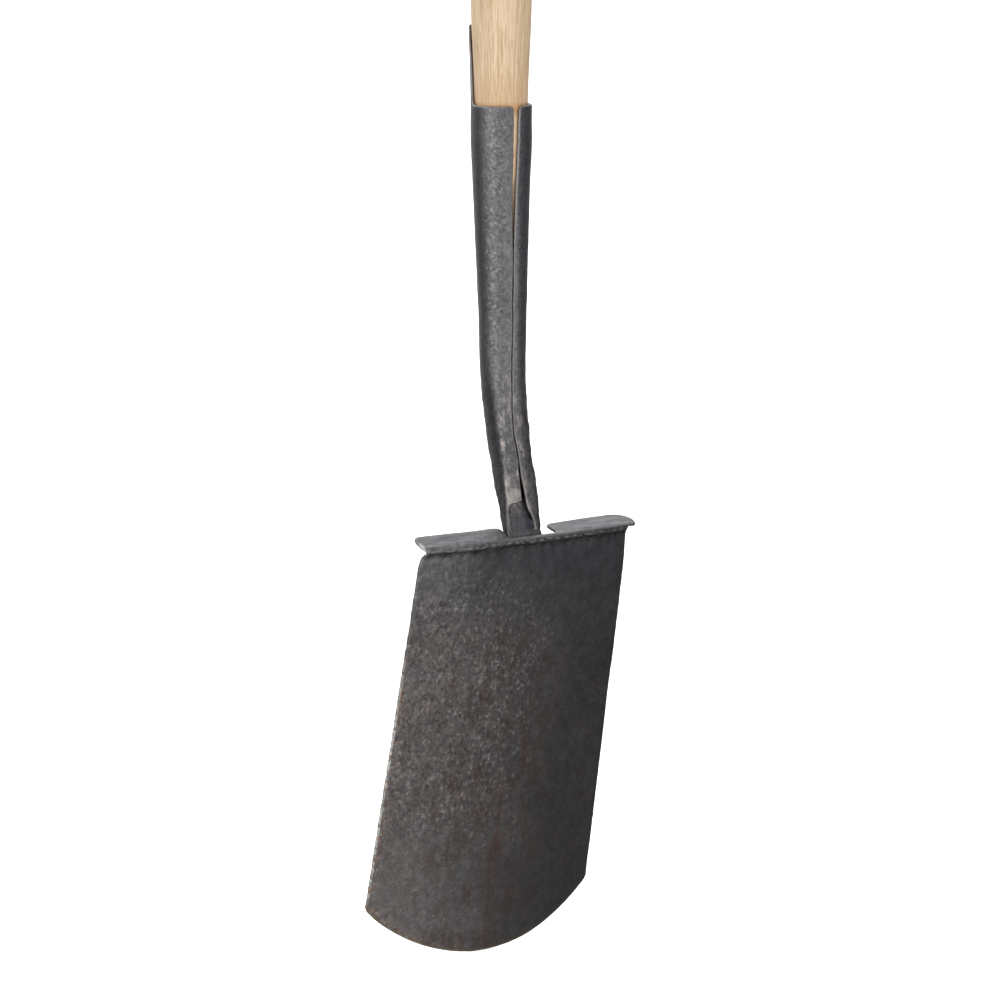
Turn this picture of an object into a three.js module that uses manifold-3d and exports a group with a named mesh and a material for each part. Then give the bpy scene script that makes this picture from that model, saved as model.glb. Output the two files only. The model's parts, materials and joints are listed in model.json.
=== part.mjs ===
// A garden digging spade: a dished steel blade with folded foot treads, a cranked open socket whose tang
// lies on the digging face, an ash shaft and a wedged T-grip.
// Millimetres. X is the width, +Y the digging (concave) side and +Z runs up the shaft.
// The model is drawn with Z = 0 at the fold between blade and treads and X = Y = 0 on the shaft's axis;
// the exported group then moves the origin to the middle of the grip.
import * as THREE from "three";
import { mergeVertices } from "three/addons/utils/BufferGeometryUtils.js";
import Module from "manifold-3d";

const wasm = await Module();
wasm.setup();

// ---- Driving dimensions ----
const GAP = 0.3; // between two pieces that touch
const OVERLAP = 1; // how far parts of one piece run into each other before they are joined
const REACH = 48; // how far a cutting body passes beyond what it cuts

const BLADE = {
  topWidth: 147.5,
  bottomWidth: 162,
  sideLength: 249.5,
  crown: 36.1, // how far the middle of the cutting edge reaches below its corners
  crownPower: 2.24, // 2 is a parabola, more is flatter with tighter corners
  sheet: 2.2,
  edgeSheet: 1.2, // thickness along the cutting edge
  topDish: 3.15, // how far the side edges stand forward of the middle, at the fold
  bottomDish: 10.7, // the same at the cutting edge
  tilt: 12.8, // degrees that the blade leans forward as it goes down
  foldX: -1.3, // the middle of the fold, from the shaft's axis
  foldY: -36.9,
  foldRadius: 3.6, // outside radius of the fold
  cornerInset: 2.6, // how much the left-hand top corner is worn away
  cornerLength: 16,
};

const TREAD = {
  rise: 20, // degrees above level, going forward
  depth: 17.8,
  outerDepth: 18.4, // at the right-hand end, which is forged a little wider
  leftEnd: -75,
  rightEnd: 80.8,
  corner: 5,
  notchLeft: -13,
  notchRight: 21,
  notchDepth: 4.4, // what the notch leaves of the folded strip
  leftCorner: 4, // the worn corner beside the notch, on the left-hand tread
  leftWear: 0.8,
  tipLean: 2, // how far the right-hand tread's tip leans over the notch
  tipWear: 1.8,
  tipRoot: 3, // where its slanted end starts, above the strip
  farCorner: 14, // the long rounded corner at the right-hand end
  farDrop: 8,
  web: 4, // how far the right-hand tread runs in over the blade's top corner
};

const SOCKET = { mouthZ: 267.8, plate: 2.3 };

// The shaft's radius at heights above the fold, joined by straight cones.
const SHAFT_PROFILE = [
  { z: 104, radius: 5.5 }, // blunt point, deep in the socket
  { z: 108, radius: 7.5 },
  { z: 212.8, radius: 13.85 },
  { z: 227.8, radius: 15.55 },
  { z: 243.8, radius: 16.25 },
  { z: 267.8, radius: 16.45 }, // at the socket's mouth
  { z: 294.8, radius: 17.4 },
  { z: 316.8, radius: 18.4 },
  { z: 336.8, radius: 19 }, // the shaft's full size
  { z: 384.8, radius: 19 },
  { z: 622, radius: 16.6 },
  { z: 762, radius: 15 },
  { z: 822, radius: 15 }, // in the middle of the grip, before it is coped and tenoned
];

const TENON = { radius: 10.7, root: 40, inset: 0.5 };

const STRAP = {
  length: 48.6,
  halfWidth: 17.4,
  bottomRadius: 19,
  topRadius: 20.2,
  topPlate: 1.4,
  foot: 3, // how far it is drawn down into the socket's wall
  corner: 3,
  shoulder: 10, // height of the curve between the mouth and the strap's side
};

const GRIP = { z: 822, length: 126, middleRadius: 17, endRadius: 14.5, bore: 22, barrelShare: 0.9 };

// How the grip's ends are rounded: drops in radius at distances from the end.
const GRIP_END = [
  { drop: 8, inset: 0 },
  { drop: 4.2, inset: 1.4 },
  { drop: 1.2, inset: 3.8 },
];

const NAIL = {
  headRadius: 4.6,
  headRise: 2.4,
  shankRadius: 1.9,
  shankLength: 21,
  point: 5, // length of the tapered tip
  holePastAxis: 12,
};

const NAIL_HEIGHTS = { strap_nail: 300.8, socket_nail: 245.8 };

const PEG = { radius: 3, length: 33 };

const WEDGE = { topHalf: 1.5, footHalf: 0.6, topInset: 0.6, abovePeg: 1.2, width: 18 };

// Sections of the socket and neck, from the mouth down to the foot of the neck: the section's middle
// (z, y), its outside width and depth, its squareness (2 is an ellipse) and the angle, in degrees from the
// front, at which each folded edge ends at the back.
const SOCKET_SECTIONS = [
  { z: 267.8, y: 0, width: 38, depth: 38, square: 2, left: 175.8, right: 175.8 },
  { z: 244, y: 0, width: 38, depth: 38, square: 2, left: 176.8, right: 176.8 },
  { z: 226, y: -0.1, width: 36.3, depth: 36.3, square: 2, left: 177.6, right: 177.6 },
  { z: 182, y: -0.6, width: 33.2, depth: 33.2, square: 2, left: 178.6, right: 178.6 },
  { z: 137, y: -1.5, width: 30.2, depth: 30.2, square: 2, left: 178.5, right: 178.5 },
  { z: 92, y: -2.9, width: 27.8, depth: 27.8, square: 2.1, left: 178.3, right: 178.3 },
  { z: 70, y: -6.9, width: 26, depth: 26, square: 2.4, left: 179, right: 179 },
  { z: 47, y: -12.8, width: 24.4, depth: 22.6, square: 3, left: 179.4, right: 179.4 },
  { z: 33, y: -17.3, width: 24.2, depth: 18.8, square: 3.6, left: 179.5, right: 179.5 },
  { z: 25, y: -20.1, width: 24.3, depth: 16, square: 4, left: 179.2, right: 179 },
  { z: 23, y: -20.8, width: 24.3, depth: 15.2, square: 4.1, left: 178.8, right: 178.6 },
  { z: 20.5, y: -21.6, width: 24.4, depth: 14.2, square: 4.2, left: 143, right: 178 },
  { z: 16, y: -22.9, width: 24.4, depth: 12.6, square: 4.4, left: 130, right: 176.5 },
  { z: 9, y: -24.5, width: 24.4, depth: 10.4, square: 4.7, left: 128, right: 167 },
  { z: 3, y: -25.8, width: 24.4, depth: 8.6, square: 5, left: 127, right: 136 },
  { z: -2, y: -26.9, width: 24.4, depth: 7.4, square: 5, left: 127, right: 133 },
];

// Heights of the rows of the socket's sheet: far apart on the socket and close together on the neck.
const SOCKET_ROWS = [
  267.8, 253.8, 239.8, 225.8, 211.8, 197.8, 183.8, 169.8, 155.8, 141.8, 127.8, 113.8, 95, 88.5, 82, 75.5, 69,
  62.5, 56, 49.5, 43, 36.5, 33, 29, 25, 23, 21.8, 20.5, 18, 13, 9, 6, 3, 0, -2,
];

// The foot of the neck and the tang, at distances down the blade from the fold: how far it stands off the
// digging face, its thickness and its half width. It ramps up inside the neck and ends in a point.
const TANG_SECTIONS = [
  { down: -17, off: 15, thick: 8.5, half: 11 },
  { down: -6.4, off: 9.2, thick: 7.2, half: 11.4 },
  { down: -5.2, off: 7.1, thick: 8.6, half: 12 },
  { down: -4, off: 6.3, thick: 8.4, half: 12.1 },
  { down: 2, off: 4.4, thick: 7.4, half: 12.2 },
  { down: 12, off: 1.8, thick: 6.4, half: 13.4 },
  { down: 22, off: 0.4, thick: 5.2, half: 16.8 },
  { down: 38, off: 0.4, thick: 3.8, half: 20.4 },
  { down: 62, off: 0.4, thick: 3, half: 21 },
  { down: 88, off: 0.4, thick: 2.7, half: 16.5 },
  { down: 108, off: 0.4, thick: 2.5, half: 8.5 },
  { down: 116, off: 0.4, thick: 2.3, half: 2.4 },
];
const TANG_ROWS = [-17, -12, -6.4, -5.2, -4, 2, 12, 22, 38, 50, 62, 75, 88, 99, 108, 116];

const WELD = { radius: 2.1, top: 26, bottom: 106, beside: 0.8, above: 0.4 };

const radians = THREE.MathUtils.degToRad;
const lerp = THREE.MathUtils.lerp;

// ---- Materials ----
const steel = (color) => new THREE.MeshStandardMaterial({ color, roughness: 0.55, metalness: 0.85 });
const wood = (color) => new THREE.MeshStandardMaterial({ color, roughness: 0.7, metalness: 0 });
const MATERIALS = {
  blade: steel(0x3a3a3c),
  socket: steel(0x55565a),
  weld: steel(0x4a4644),
  nail: steel(0x3c3834),
  shaft: wood(0xd2b48a),
  grip: wood(0xb98e5c),
  wedge: wood(0x8a6238),
};

// ---- Booleans and small helpers ----
function solidOf(geometry) {
  const bare = geometry.clone();
  bare.deleteAttribute("normal");
  bare.deleteAttribute("uv");
  const merged = mergeVertices(bare, 1e-4);
  return new wasm.Manifold(
    new wasm.Mesh({
      numProp: 3,
      vertProperties: merged.attributes.position.array,
      triVerts: new Uint32Array(merged.index.array),
    }),
  );
}

function geometryOf(solid) {
  const { vertProperties, triVerts } = solid.getMesh();
  const geometry = new THREE.BufferGeometry();
  geometry.setAttribute("position", new THREE.BufferAttribute(vertProperties, 3));
  geometry.setIndex(new THREE.BufferAttribute(triVerts, 1));
  geometry.computeVertexNormals();
  return geometry;
}

function mesh(name, geometry, material) {
  const made = new THREE.Mesh(geometry, material);
  made.name = name;
  return made;
}

// A value read off a list of sections, joined by a smooth curve through them.
function sectionValue(sections, key, position, field) {
  const falling = sections[0][key] > sections[1][key];
  const after = sections.findIndex((s) => (falling ? s[key] <= position : s[key] >= position));
  if (after <= 0) return sections[after < 0 ? sections.length - 1 : 0][field];
  const [a, b] = [sections[after - 1], sections[after]];
  const before = sections[Math.max(after - 2, 0)];
  const beyond = sections[Math.min(after + 1, sections.length - 1)];
  const slopeA = (b[field] - before[field]) / (b[key] - before[key]);
  const slopeB = (beyond[field] - a[field]) / (beyond[key] - a[key]);
  const span = b[key] - a[key];
  const t = (position - a[key]) / span;
  const [t2, t3] = [t * t, t * t * t];
  return (
    (2 * t3 - 3 * t2 + 1) * a[field] +
    (t3 - 2 * t2 + t) * span * slopeA +
    (3 * t2 - 2 * t3) * b[field] +
    (t3 - t2) * span * slopeB
  );
}

// A closed sheet between two grids of points. The outside faces along (step in u) x (step in v).
function sheetSolid(uSteps, vSteps, outsideAt, insideAt) {
  const positions = [];
  const index = [];
  const row = vSteps + 1;
  const side = (uSteps + 1) * row;
  for (const pointAt of [outsideAt, insideAt])
    for (let i = 0; i <= uSteps; i++)
      for (let j = 0; j <= vSteps; j++) positions.push(...pointAt(i, j).toArray());
  const quad = (a, b, c, d) => index.push(a, b, c, a, c, d);
  for (let i = 0; i < uSteps; i++)
    for (let j = 0; j < vSteps; j++) {
      const a = i * row + j;
      quad(a, a + row, a + row + 1, a + 1);
      quad(side + a, side + a + 1, side + a + row + 1, side + a + row);
    }
  for (let i = 0; i < uSteps; i++) {
    const a = i * row;
    const b = a + vSteps;
    quad(a, side + a, side + a + row, a + row);
    quad(b, b + row, side + b + row, side + b);
  }
  for (let j = 0; j < vSteps; j++) {
    const a = j;
    const b = uSteps * row + j;
    quad(a, a + 1, side + a + 1, side + a);
    quad(b, side + b, side + b + 1, b + 1);
  }
  const geometry = new THREE.BufferGeometry();
  geometry.setAttribute("position", new THREE.Float32BufferAttribute(positions, 3));
  geometry.setIndex(index);
  geometry.computeVertexNormals();
  return geometry;
}

// ---- Blade ----
const bladeDown = new THREE.Vector3(0, Math.sin(radians(BLADE.tilt)), -Math.cos(radians(BLADE.tilt)));
const bladeForward = new THREE.Vector3(0, Math.cos(radians(BLADE.tilt)), Math.sin(radians(BLADE.tilt)));
const treadOut = new THREE.Vector3(0, Math.cos(radians(TREAD.rise)), Math.sin(radians(TREAD.rise)));
const foldMiddle = new THREE.Vector3(BLADE.foldX, BLADE.foldY, 0);

// A point at a share `across` (-1 to 1) of the half width, `down` from the fold and `forward` of the back.
function bladePoint(across, down, forward) {
  const share = THREE.MathUtils.clamp(down / BLADE.sideLength, 0, 1);
  const half = lerp(BLADE.topWidth, BLADE.bottomWidth, share) / 2;
  const dish = lerp(BLADE.topDish, BLADE.bottomDish, share) * across * across;
  const worn = Math.max(1 - Math.max(down, 0) / BLADE.cornerLength, 0) ** 2 * Math.max(-across, 0) ** 4;
  return foldMiddle
    .clone()
    .add(new THREE.Vector3(across * half + worn * BLADE.cornerInset, 0, 0))
    .addScaledVector(bladeDown, down)
    .addScaledVector(bladeForward, dish + forward);
}

// The same, at a distance x from the middle of the blade instead of a share.
function bladePointAtX(x, down, forward) {
  const share = THREE.MathUtils.clamp(down / BLADE.sideLength, 0, 1);
  return bladePoint((2 * x) / lerp(BLADE.topWidth, BLADE.bottomWidth, share), down, forward);
}

// The blade with its fold and the narrow strip above it, as one bent sheet.
function bladeSheet() {
  const across = 18;
  const foldSteps = 5;
  const downSteps = 12;
  const corner = Math.PI / 2 + radians(TREAD.rise);
  const turn = Math.PI / 2 + radians(BLADE.tilt) - radians(TREAD.rise);
  const halfInside = (Math.PI - turn) / 2;
  const tangent = BLADE.foldRadius / Math.tan(halfInside);
  const bisector = treadOut.clone().add(bladeDown).normalize();
  const centre = bisector.multiplyScalar(BLADE.foldRadius / Math.sin(halfInside));
  const foldPoint = (share, radius) => {
    const angle = corner + share * turn;
    return centre.clone().add(new THREE.Vector3(0, radius * Math.cos(angle), radius * Math.sin(angle)));
  };
  const pointAt = (thickness) => (i, j) => {
    const a = (2 * j) / across - 1;
    const crownDown = BLADE.crown * (1 - Math.abs(a) ** BLADE.crownPower);
    if (i > foldSteps + 1) {
      const share = (i - foldSteps - 1) / downSteps;
      const down = lerp(tangent, BLADE.sideLength + crownDown, share);
      return bladePoint(a, down, thickness * lerp(1, BLADE.edgeSheet / BLADE.sheet, share ** 6));
    }
    const atFold = bladePoint(a, 0, 0);
    const fold = foldPoint(Math.max(i - 1, 0) / foldSteps, BLADE.foldRadius - thickness);
    const strip = i > 0 ? 0 : TREAD.notchDepth - tangent;
    return atFold.add(fold).addScaledVector(treadOut, strip);
  };
  return sheetSolid(foldSteps + 1 + downSteps, across, pointAt(0), pointAt(BLADE.sheet));
}

// A tread's outline in its own plane: x across, y forward from the fold.
function leftTreadShape() {
  const { depth, leftEnd, corner, notchLeft, leftCorner } = TREAD;
  const root = TREAD.notchDepth - OVERLAP;
  const worn = depth - TREAD.leftWear;
  const shape = new THREE.Shape();
  shape.moveTo(notchLeft, root);
  shape.lineTo(notchLeft, worn - leftCorner);
  shape.quadraticCurveTo(notchLeft, worn, notchLeft - leftCorner, worn);
  shape.lineTo(leftEnd + corner, depth);
  shape.quadraticCurveTo(leftEnd, depth, leftEnd, depth - corner);
  shape.lineTo(leftEnd, BLADE.topDish + BLADE.foldRadius);
  shape.quadraticCurveTo((notchLeft + leftEnd) / 2, root, notchLeft, root);
  return shape;
}

function rightTreadShape() {
  const { outerDepth, rightEnd, notchRight, notchDepth, tipLean, web } = TREAD;
  const { topDish } = BLADE;
  const bladeEnd = BLADE.foldX + BLADE.topWidth / 2;
  const root = notchDepth - OVERLAP;
  const worn = TREAD.depth - TREAD.tipWear;
  const tip = notchRight - tipLean;
  const shape = new THREE.Shape();
  shape.moveTo(notchRight, root);
  shape.lineTo(notchRight, notchDepth + TREAD.tipRoot);
  shape.lineTo(tip, worn - tipLean);
  shape.quadraticCurveTo(tip, worn, notchRight, worn);
  shape.lineTo(rightEnd - TREAD.farCorner, outerDepth);
  shape.quadraticCurveTo(rightEnd, outerDepth, rightEnd, outerDepth - TREAD.farDrop);
  shape.quadraticCurveTo(rightEnd, topDish, bladeEnd, topDish);
  shape.lineTo(bladeEnd - web, topDish + BLADE.sheet);
  shape.quadraticCurveTo((notchRight + bladeEnd) / 2, root, notchRight, root);
  return shape;
}

// A tread's plate, with its top face in the plane that meets the back of the blade at the fold.
function treadSolid(shape) {
  const geometry = new THREE.ExtrudeGeometry(shape, {
    depth: BLADE.sheet,
    bevelEnabled: false,
    curveSegments: 6,
  });
  geometry.translate(0, 0, -BLADE.sheet);
  geometry.rotateX(radians(TREAD.rise));
  geometry.translate(0, foldMiddle.y, foldMiddle.z);
  return solidOf(geometry);
}

function bladeGeometry() {
  const sheet = solidOf(bladeSheet());
  return geometryOf(sheet.add(treadSolid(leftTreadShape())).add(treadSolid(rightTreadShape())));
}

// ---- Socket, neck and tang ----
// A point of the socket's plate at height z, at an angle from the front, `inward` from the outside.
function socketPoint(z, angle, inward) {
  const at = (field) => sectionValue(SOCKET_SECTIONS, "z", z, field);
  const slope = at("y") - sectionValue(SOCKET_SECTIONS, "z", z - 1, "y");
  const power = 2 / at("square");
  const [s, c] = [Math.sin(angle), Math.cos(angle)];
  const x = Math.sign(s) * Math.abs(s) ** power * (at("width") / 2 - inward);
  const f = Math.sign(c) * Math.abs(c) ** power * (at("depth") / 2 - inward);
  const tilt = Math.atan(slope);
  return new THREE.Vector3(x, at("y") + f * Math.cos(tilt), z - f * Math.sin(tilt));
}

function socketSheet() {
  const around = 36;
  const widest = 179.6;
  const pointAt = (inward) => (i, j) => {
    const z = SOCKET_ROWS[i];
    const edge = (side) => radians(Math.min(sectionValue(SOCKET_SECTIONS, "z", z, side), widest));
    return socketPoint(z, lerp(edge("right"), -edge("left"), j / around), inward);
  };
  return sheetSolid(SOCKET_ROWS.length - 1, around, pointAt(0), pointAt(SOCKET.plate));
}

// The strap's outline seen from the front, with Z = 0 at the socket's mouth.
function strapOutline() {
  const { length, halfWidth, foot, corner, shoulder, topRadius } = STRAP;
  const top = length + GAP;
  const outline = new THREE.Shape();
  outline.moveTo(-topRadius, -foot - OVERLAP);
  outline.lineTo(-topRadius, 0);
  outline.quadraticCurveTo(-halfWidth, 0, -halfWidth, shoulder);
  outline.lineTo(-halfWidth, length - corner);
  outline.quadraticCurveTo(-halfWidth, top, -halfWidth + corner, top);
  outline.lineTo(halfWidth - corner, top);
  outline.quadraticCurveTo(halfWidth, top, halfWidth, length - corner);
  outline.lineTo(halfWidth, shoulder);
  outline.quadraticCurveTo(halfWidth, 0, topRadius, 0);
  outline.lineTo(topRadius, -foot - OVERLAP);
  return outline;
}

// The strap: a tongue cut from a slightly flared tube wall that carries the front of the socket upwards.
function strapSolid() {
  const { length, bottomRadius, topRadius, topPlate, foot } = STRAP;
  const skin = 0.05; // keeps its foot just inside both faces of the socket's wall
  const outer = bottomRadius - skin;
  const inner = bottomRadius - SOCKET.plate + skin;
  const tube = lathe(
    [
      [inner, -foot],
      [outer, -foot],
      [outer, 0],
      [topRadius, length],
      [topRadius - topPlate, length],
      [inner, 0],
      [inner, -foot],
    ],
    48,
  );
  const cut = { depth: REACH, bevelEnabled: false, curveSegments: 5 };
  const blank = new THREE.ExtrudeGeometry(strapOutline(), cut);
  blank.rotateX(Math.PI / 2);
  blank.translate(0, REACH, 0);
  return solidOf(tube).intersect(solidOf(blank)).translate(0, 0, SOCKET.mouthZ);
}

// The foot of the neck and the tang, bedded along the digging face of the blade.
function tangSheet() {
  const across = 8;
  const pointAt = (front) => (i, j) => {
    const down = TANG_ROWS[i];
    const at = (field) => sectionValue(TANG_SECTIONS, "down", down, field);
    const x = at("half") * ((2 * j) / across - 1);
    const forward = BLADE.sheet + at("off") + (front ? at("thick") : 0);
    return bladePointAtX(x - BLADE.foldX, down, forward);
  };
  return sheetSolid(TANG_ROWS.length - 1, across, pointAt(false), pointAt(true));
}

// A round cutter along Y, from one distance past the axis to the reach of all cutters.
function cutterAlongY(radius, pastAxis) {
  const cutter = new THREE.CylinderGeometry(radius, radius, REACH + pastAxis, 20);
  cutter.translate(0, (REACH - pastAxis) / 2, 0);
  return solidOf(cutter);
}

// A hole for a nail, driven from the front and past the axis at height z.
function nailHole(z) {
  return cutterAlongY(NAIL.shankRadius + GAP, NAIL.holePastAxis).translate(0, 0, z);
}

function socketGeometry() {
  let solid = solidOf(socketSheet()).add(strapSolid()).add(solidOf(tangSheet()));
  for (const z of Object.values(NAIL_HEIGHTS)) solid = solid.subtract(nailHole(z));
  return geometryOf(solid);
}

// A weld bead along one edge of the tang.
function weldGeometry(side) {
  const points = [];
  const steps = 8;
  for (let i = 0; i <= steps; i++) {
    const down = lerp(WELD.top, WELD.bottom, i / steps);
    const half = sectionValue(TANG_SECTIONS, "down", down, "half");
    const x = side * (half + WELD.radius + WELD.beside) - BLADE.foldX;
    points.push(bladePointAtX(x, down, BLADE.sheet + WELD.radius + WELD.above));
  }
  const section = new THREE.Shape();
  section.absarc(0, 0, WELD.radius, 0, 2 * Math.PI);
  return new THREE.ExtrudeGeometry(section, {
    steps: 20,
    curveSegments: 5,
    bevelEnabled: false,
    extrudePath: new THREE.CatmullRomCurve3(points),
  });
}

// ---- Shaft, grip and their fastenings ----
function lathe(profile, segments) {
  const points = profile.map(([radius, height]) => new THREE.Vector2(radius, height));
  const geometry = new THREE.LatheGeometry(points, segments);
  geometry.rotateX(Math.PI / 2);
  return geometry;
}

// The grip's barrel as radii along its length, `extra` larger all round.
function gripProfile(extra) {
  const half = GRIP.length / 2 + extra;
  const barrel = (x) => lerp(GRIP.middleRadius, GRIP.endRadius, (x / half) ** 2) + extra;
  const steps = 12;
  const body = [];
  for (let i = 0; i <= steps; i++) {
    const x = half * GRIP.barrelShare * ((2 * i) / steps - 1);
    body.push([barrel(x), x]);
  }
  const end = GRIP_END.map(({ drop, inset }) => [barrel(half) - drop, half - inset]);
  const start = end.map(([radius, x]) => [radius, -x]);
  return [[0, -half], ...start, ...body, ...end.reverse(), [0, half]];
}

function gripBlank(extra) {
  const geometry = lathe(gripProfile(extra), 32);
  geometry.rotateY(Math.PI / 2);
  return geometry;
}

function cylinderAlongZ(radius, low, high, segments) {
  const geometry = new THREE.CylinderGeometry(radius, radius, high - low, segments);
  geometry.rotateX(Math.PI / 2);
  geometry.translate(0, 0, (low + high) / 2);
  return geometry;
}

function pegHole() {
  return cutterAlongY(PEG.radius + GAP, REACH);
}

// The wedge's outline seen along its width: it tapers downwards.
function wedgeGeometry(extra) {
  const { topHalf, footHalf } = WEDGE;
  const top = GRIP.middleRadius - WEDGE.topInset + extra;
  const foot = PEG.radius + WEDGE.abovePeg - extra;
  const outline = new THREE.Shape();
  outline.moveTo(-topHalf - extra, top);
  outline.lineTo(-footHalf - extra, foot);
  outline.lineTo(footHalf + extra, foot);
  outline.lineTo(topHalf + extra, top);
  const width = WEDGE.width + 2 * extra;
  const geometry = new THREE.ExtrudeGeometry(outline, { depth: width, bevelEnabled: false });
  geometry.translate(0, 0, -width / 2);
  geometry.rotateX(Math.PI / 2);
  return geometry;
}

// The shaft, in the head's own frame, coped to the grip and with a tenon through it.
function shaftGeometry() {
  const profile = SHAFT_PROFILE.map(({ z, radius }) => [radius, z]);
  const blank = lathe([[0, SHAFT_PROFILE[0].z], ...profile, [0, GRIP.z]], 36);
  const cope = solidOf(gripBlank(GAP)).translate(0, 0, GRIP.z);
  const tenon = solidOf(cylinderAlongZ(TENON.radius, -TENON.root, GRIP.middleRadius - TENON.inset, 32));
  let solid = solidOf(blank).subtract(cope).add(tenon.translate(0, 0, GRIP.z));
  solid = solid.subtract(solidOf(wedgeGeometry(GAP)).translate(0, 0, GRIP.z));
  solid = solid.subtract(pegHole().translate(0, 0, GRIP.z));
  for (const z of Object.values(NAIL_HEIGHTS)) solid = solid.subtract(nailHole(z));
  return geometryOf(solid);
}

function gripGeometry() {
  const bore = solidOf(cylinderAlongZ(GRIP.bore / 2, -REACH, REACH, 32));
  return geometryOf(solidOf(gripBlank(0)).subtract(bore).subtract(pegHole()));
}

// A round-headed nail along Y: its head stands on the plate and its shank runs back into the wood.
function nailGeometry(plateRadius) {
  const { headRadius, headRise, shankRadius, shankLength, point } = NAIL;
  const seat = plateRadius + GAP;
  const tip = seat - shankLength;
  const profile = [
    [0, tip],
    [shankRadius, tip + point],
    [shankRadius, seat],
    [headRadius, seat],
    [headRadius, seat + headRise * 0.2],
    [headRadius * 0.78, seat + headRise * 0.72],
    [headRadius * 0.4, seat + headRise * 0.95],
    [0, seat + headRise],
  ];
  return new THREE.LatheGeometry(profile.map(([r, y]) => new THREE.Vector2(r, y)), 20);
}

function pegGeometry() {
  return new THREE.CylinderGeometry(PEG.radius, PEG.radius, PEG.length, 20);
}

// ---- Assembly ----
const head = new THREE.Group();
head.add(mesh("blade", bladeGeometry(), MATERIALS.blade));
head.add(mesh("socket", socketGeometry(), MATERIALS.socket));
head.add(mesh("tang_weld_left", weldGeometry(-1), MATERIALS.weld));
head.add(mesh("tang_weld_right", weldGeometry(1), MATERIALS.weld));

const handle = new THREE.Group();
handle.add(mesh("shaft", shaftGeometry(), MATERIALS.shaft));

const strapNail = mesh("strap_nail", nailGeometry(STRAP.topRadius), MATERIALS.nail);
strapNail.position.z = NAIL_HEIGHTS.strap_nail;
const socketNail = mesh("socket_nail", nailGeometry(SOCKET_SECTIONS[0].depth / 2), MATERIALS.nail);
socketNail.position.z = NAIL_HEIGHTS.socket_nail;
handle.add(strapNail, socketNail);

const gripGroup = new THREE.Group();
gripGroup.position.z = GRIP.z;
gripGroup.add(mesh("t_grip", gripGeometry(), MATERIALS.grip));
gripGroup.add(mesh("grip_wedge", wedgeGeometry(0), MATERIALS.wedge));
gripGroup.add(mesh("grip_peg", pegGeometry(), MATERIALS.wedge));
handle.add(gripGroup);

const spade = new THREE.Group();
spade.add(head, handle);
spade.position.z = -GRIP.z;

const root = new THREE.Group();
root.add(spade);

export default root;
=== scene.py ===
"""A garden digging spade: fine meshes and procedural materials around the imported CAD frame.

Shapes are worked out in millimetres in the head's frame: Z = 0 at the fold between blade and treads, X across
the blade, +Y towards the digging (concave) side, and X = Y = 0 on the shaft's axis. to_frame() takes them to
the part's own frame, in metres.
"""
import json
import math
from functools import reduce

import bmesh
import bpy
import numpy as np
from mathutils import Matrix, Vector, noise
from mathutils.geometry import delaunay_2d_cdt
from mathutils.kdtree import KDTree


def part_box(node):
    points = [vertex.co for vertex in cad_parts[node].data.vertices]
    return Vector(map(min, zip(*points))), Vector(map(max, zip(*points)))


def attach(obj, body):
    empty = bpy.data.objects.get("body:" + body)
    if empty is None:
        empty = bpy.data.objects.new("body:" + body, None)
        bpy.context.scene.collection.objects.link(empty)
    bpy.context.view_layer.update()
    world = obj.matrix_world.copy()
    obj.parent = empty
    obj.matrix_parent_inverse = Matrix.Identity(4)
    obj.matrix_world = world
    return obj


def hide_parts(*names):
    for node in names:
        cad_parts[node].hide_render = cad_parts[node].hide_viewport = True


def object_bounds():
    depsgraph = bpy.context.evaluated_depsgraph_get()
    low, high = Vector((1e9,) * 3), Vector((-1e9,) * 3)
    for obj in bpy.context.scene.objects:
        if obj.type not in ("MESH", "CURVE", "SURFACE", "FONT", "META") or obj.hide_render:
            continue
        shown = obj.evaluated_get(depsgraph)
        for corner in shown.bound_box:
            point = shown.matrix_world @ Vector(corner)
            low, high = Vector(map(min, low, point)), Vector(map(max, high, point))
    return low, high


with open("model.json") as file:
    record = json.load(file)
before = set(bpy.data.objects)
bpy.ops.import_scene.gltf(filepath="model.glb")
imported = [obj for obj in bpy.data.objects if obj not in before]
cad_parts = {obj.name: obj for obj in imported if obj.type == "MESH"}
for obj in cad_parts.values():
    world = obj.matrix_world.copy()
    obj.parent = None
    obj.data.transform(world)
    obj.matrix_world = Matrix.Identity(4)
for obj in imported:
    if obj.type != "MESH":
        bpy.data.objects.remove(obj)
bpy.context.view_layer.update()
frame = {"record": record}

MM = 0.001
AXIS_X, AXIS_Y, AXIS_Z = np.eye(3)


# ---- Where the head is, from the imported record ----
TREAD_MOUNT_DEPTH = 11  # how far along the tread, from the fold, the tread's mount lies


def tread_frame():
    """The fold's middle (y, z) in millimetres from the grip, and the tread's rise in radians."""
    mount = next(m for m in frame["record"]["mounts"] if m["name"] == "left_tread")
    rise = math.asin(-mount["axis"][1])
    y = mount["pos_m"][1] / MM - TREAD_MOUNT_DEPTH * math.cos(rise)
    z = mount["pos_m"][2] / MM - TREAD_MOUNT_DEPTH * math.sin(rise)
    return y, z, rise


FOLD_Y, HEAD_Z, TREAD_RISE = tread_frame()
HEAD = np.array([0, 0, HEAD_Z])


def to_frame(points):
    return (np.asarray(points, float) + HEAD) * MM


def box_mm(node):
    """A CAD node's lowest and highest corners, in millimetres in the head's frame."""
    low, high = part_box(node)
    return np.array(low) / MM - HEAD, np.array(high) / MM - HEAD


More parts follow.
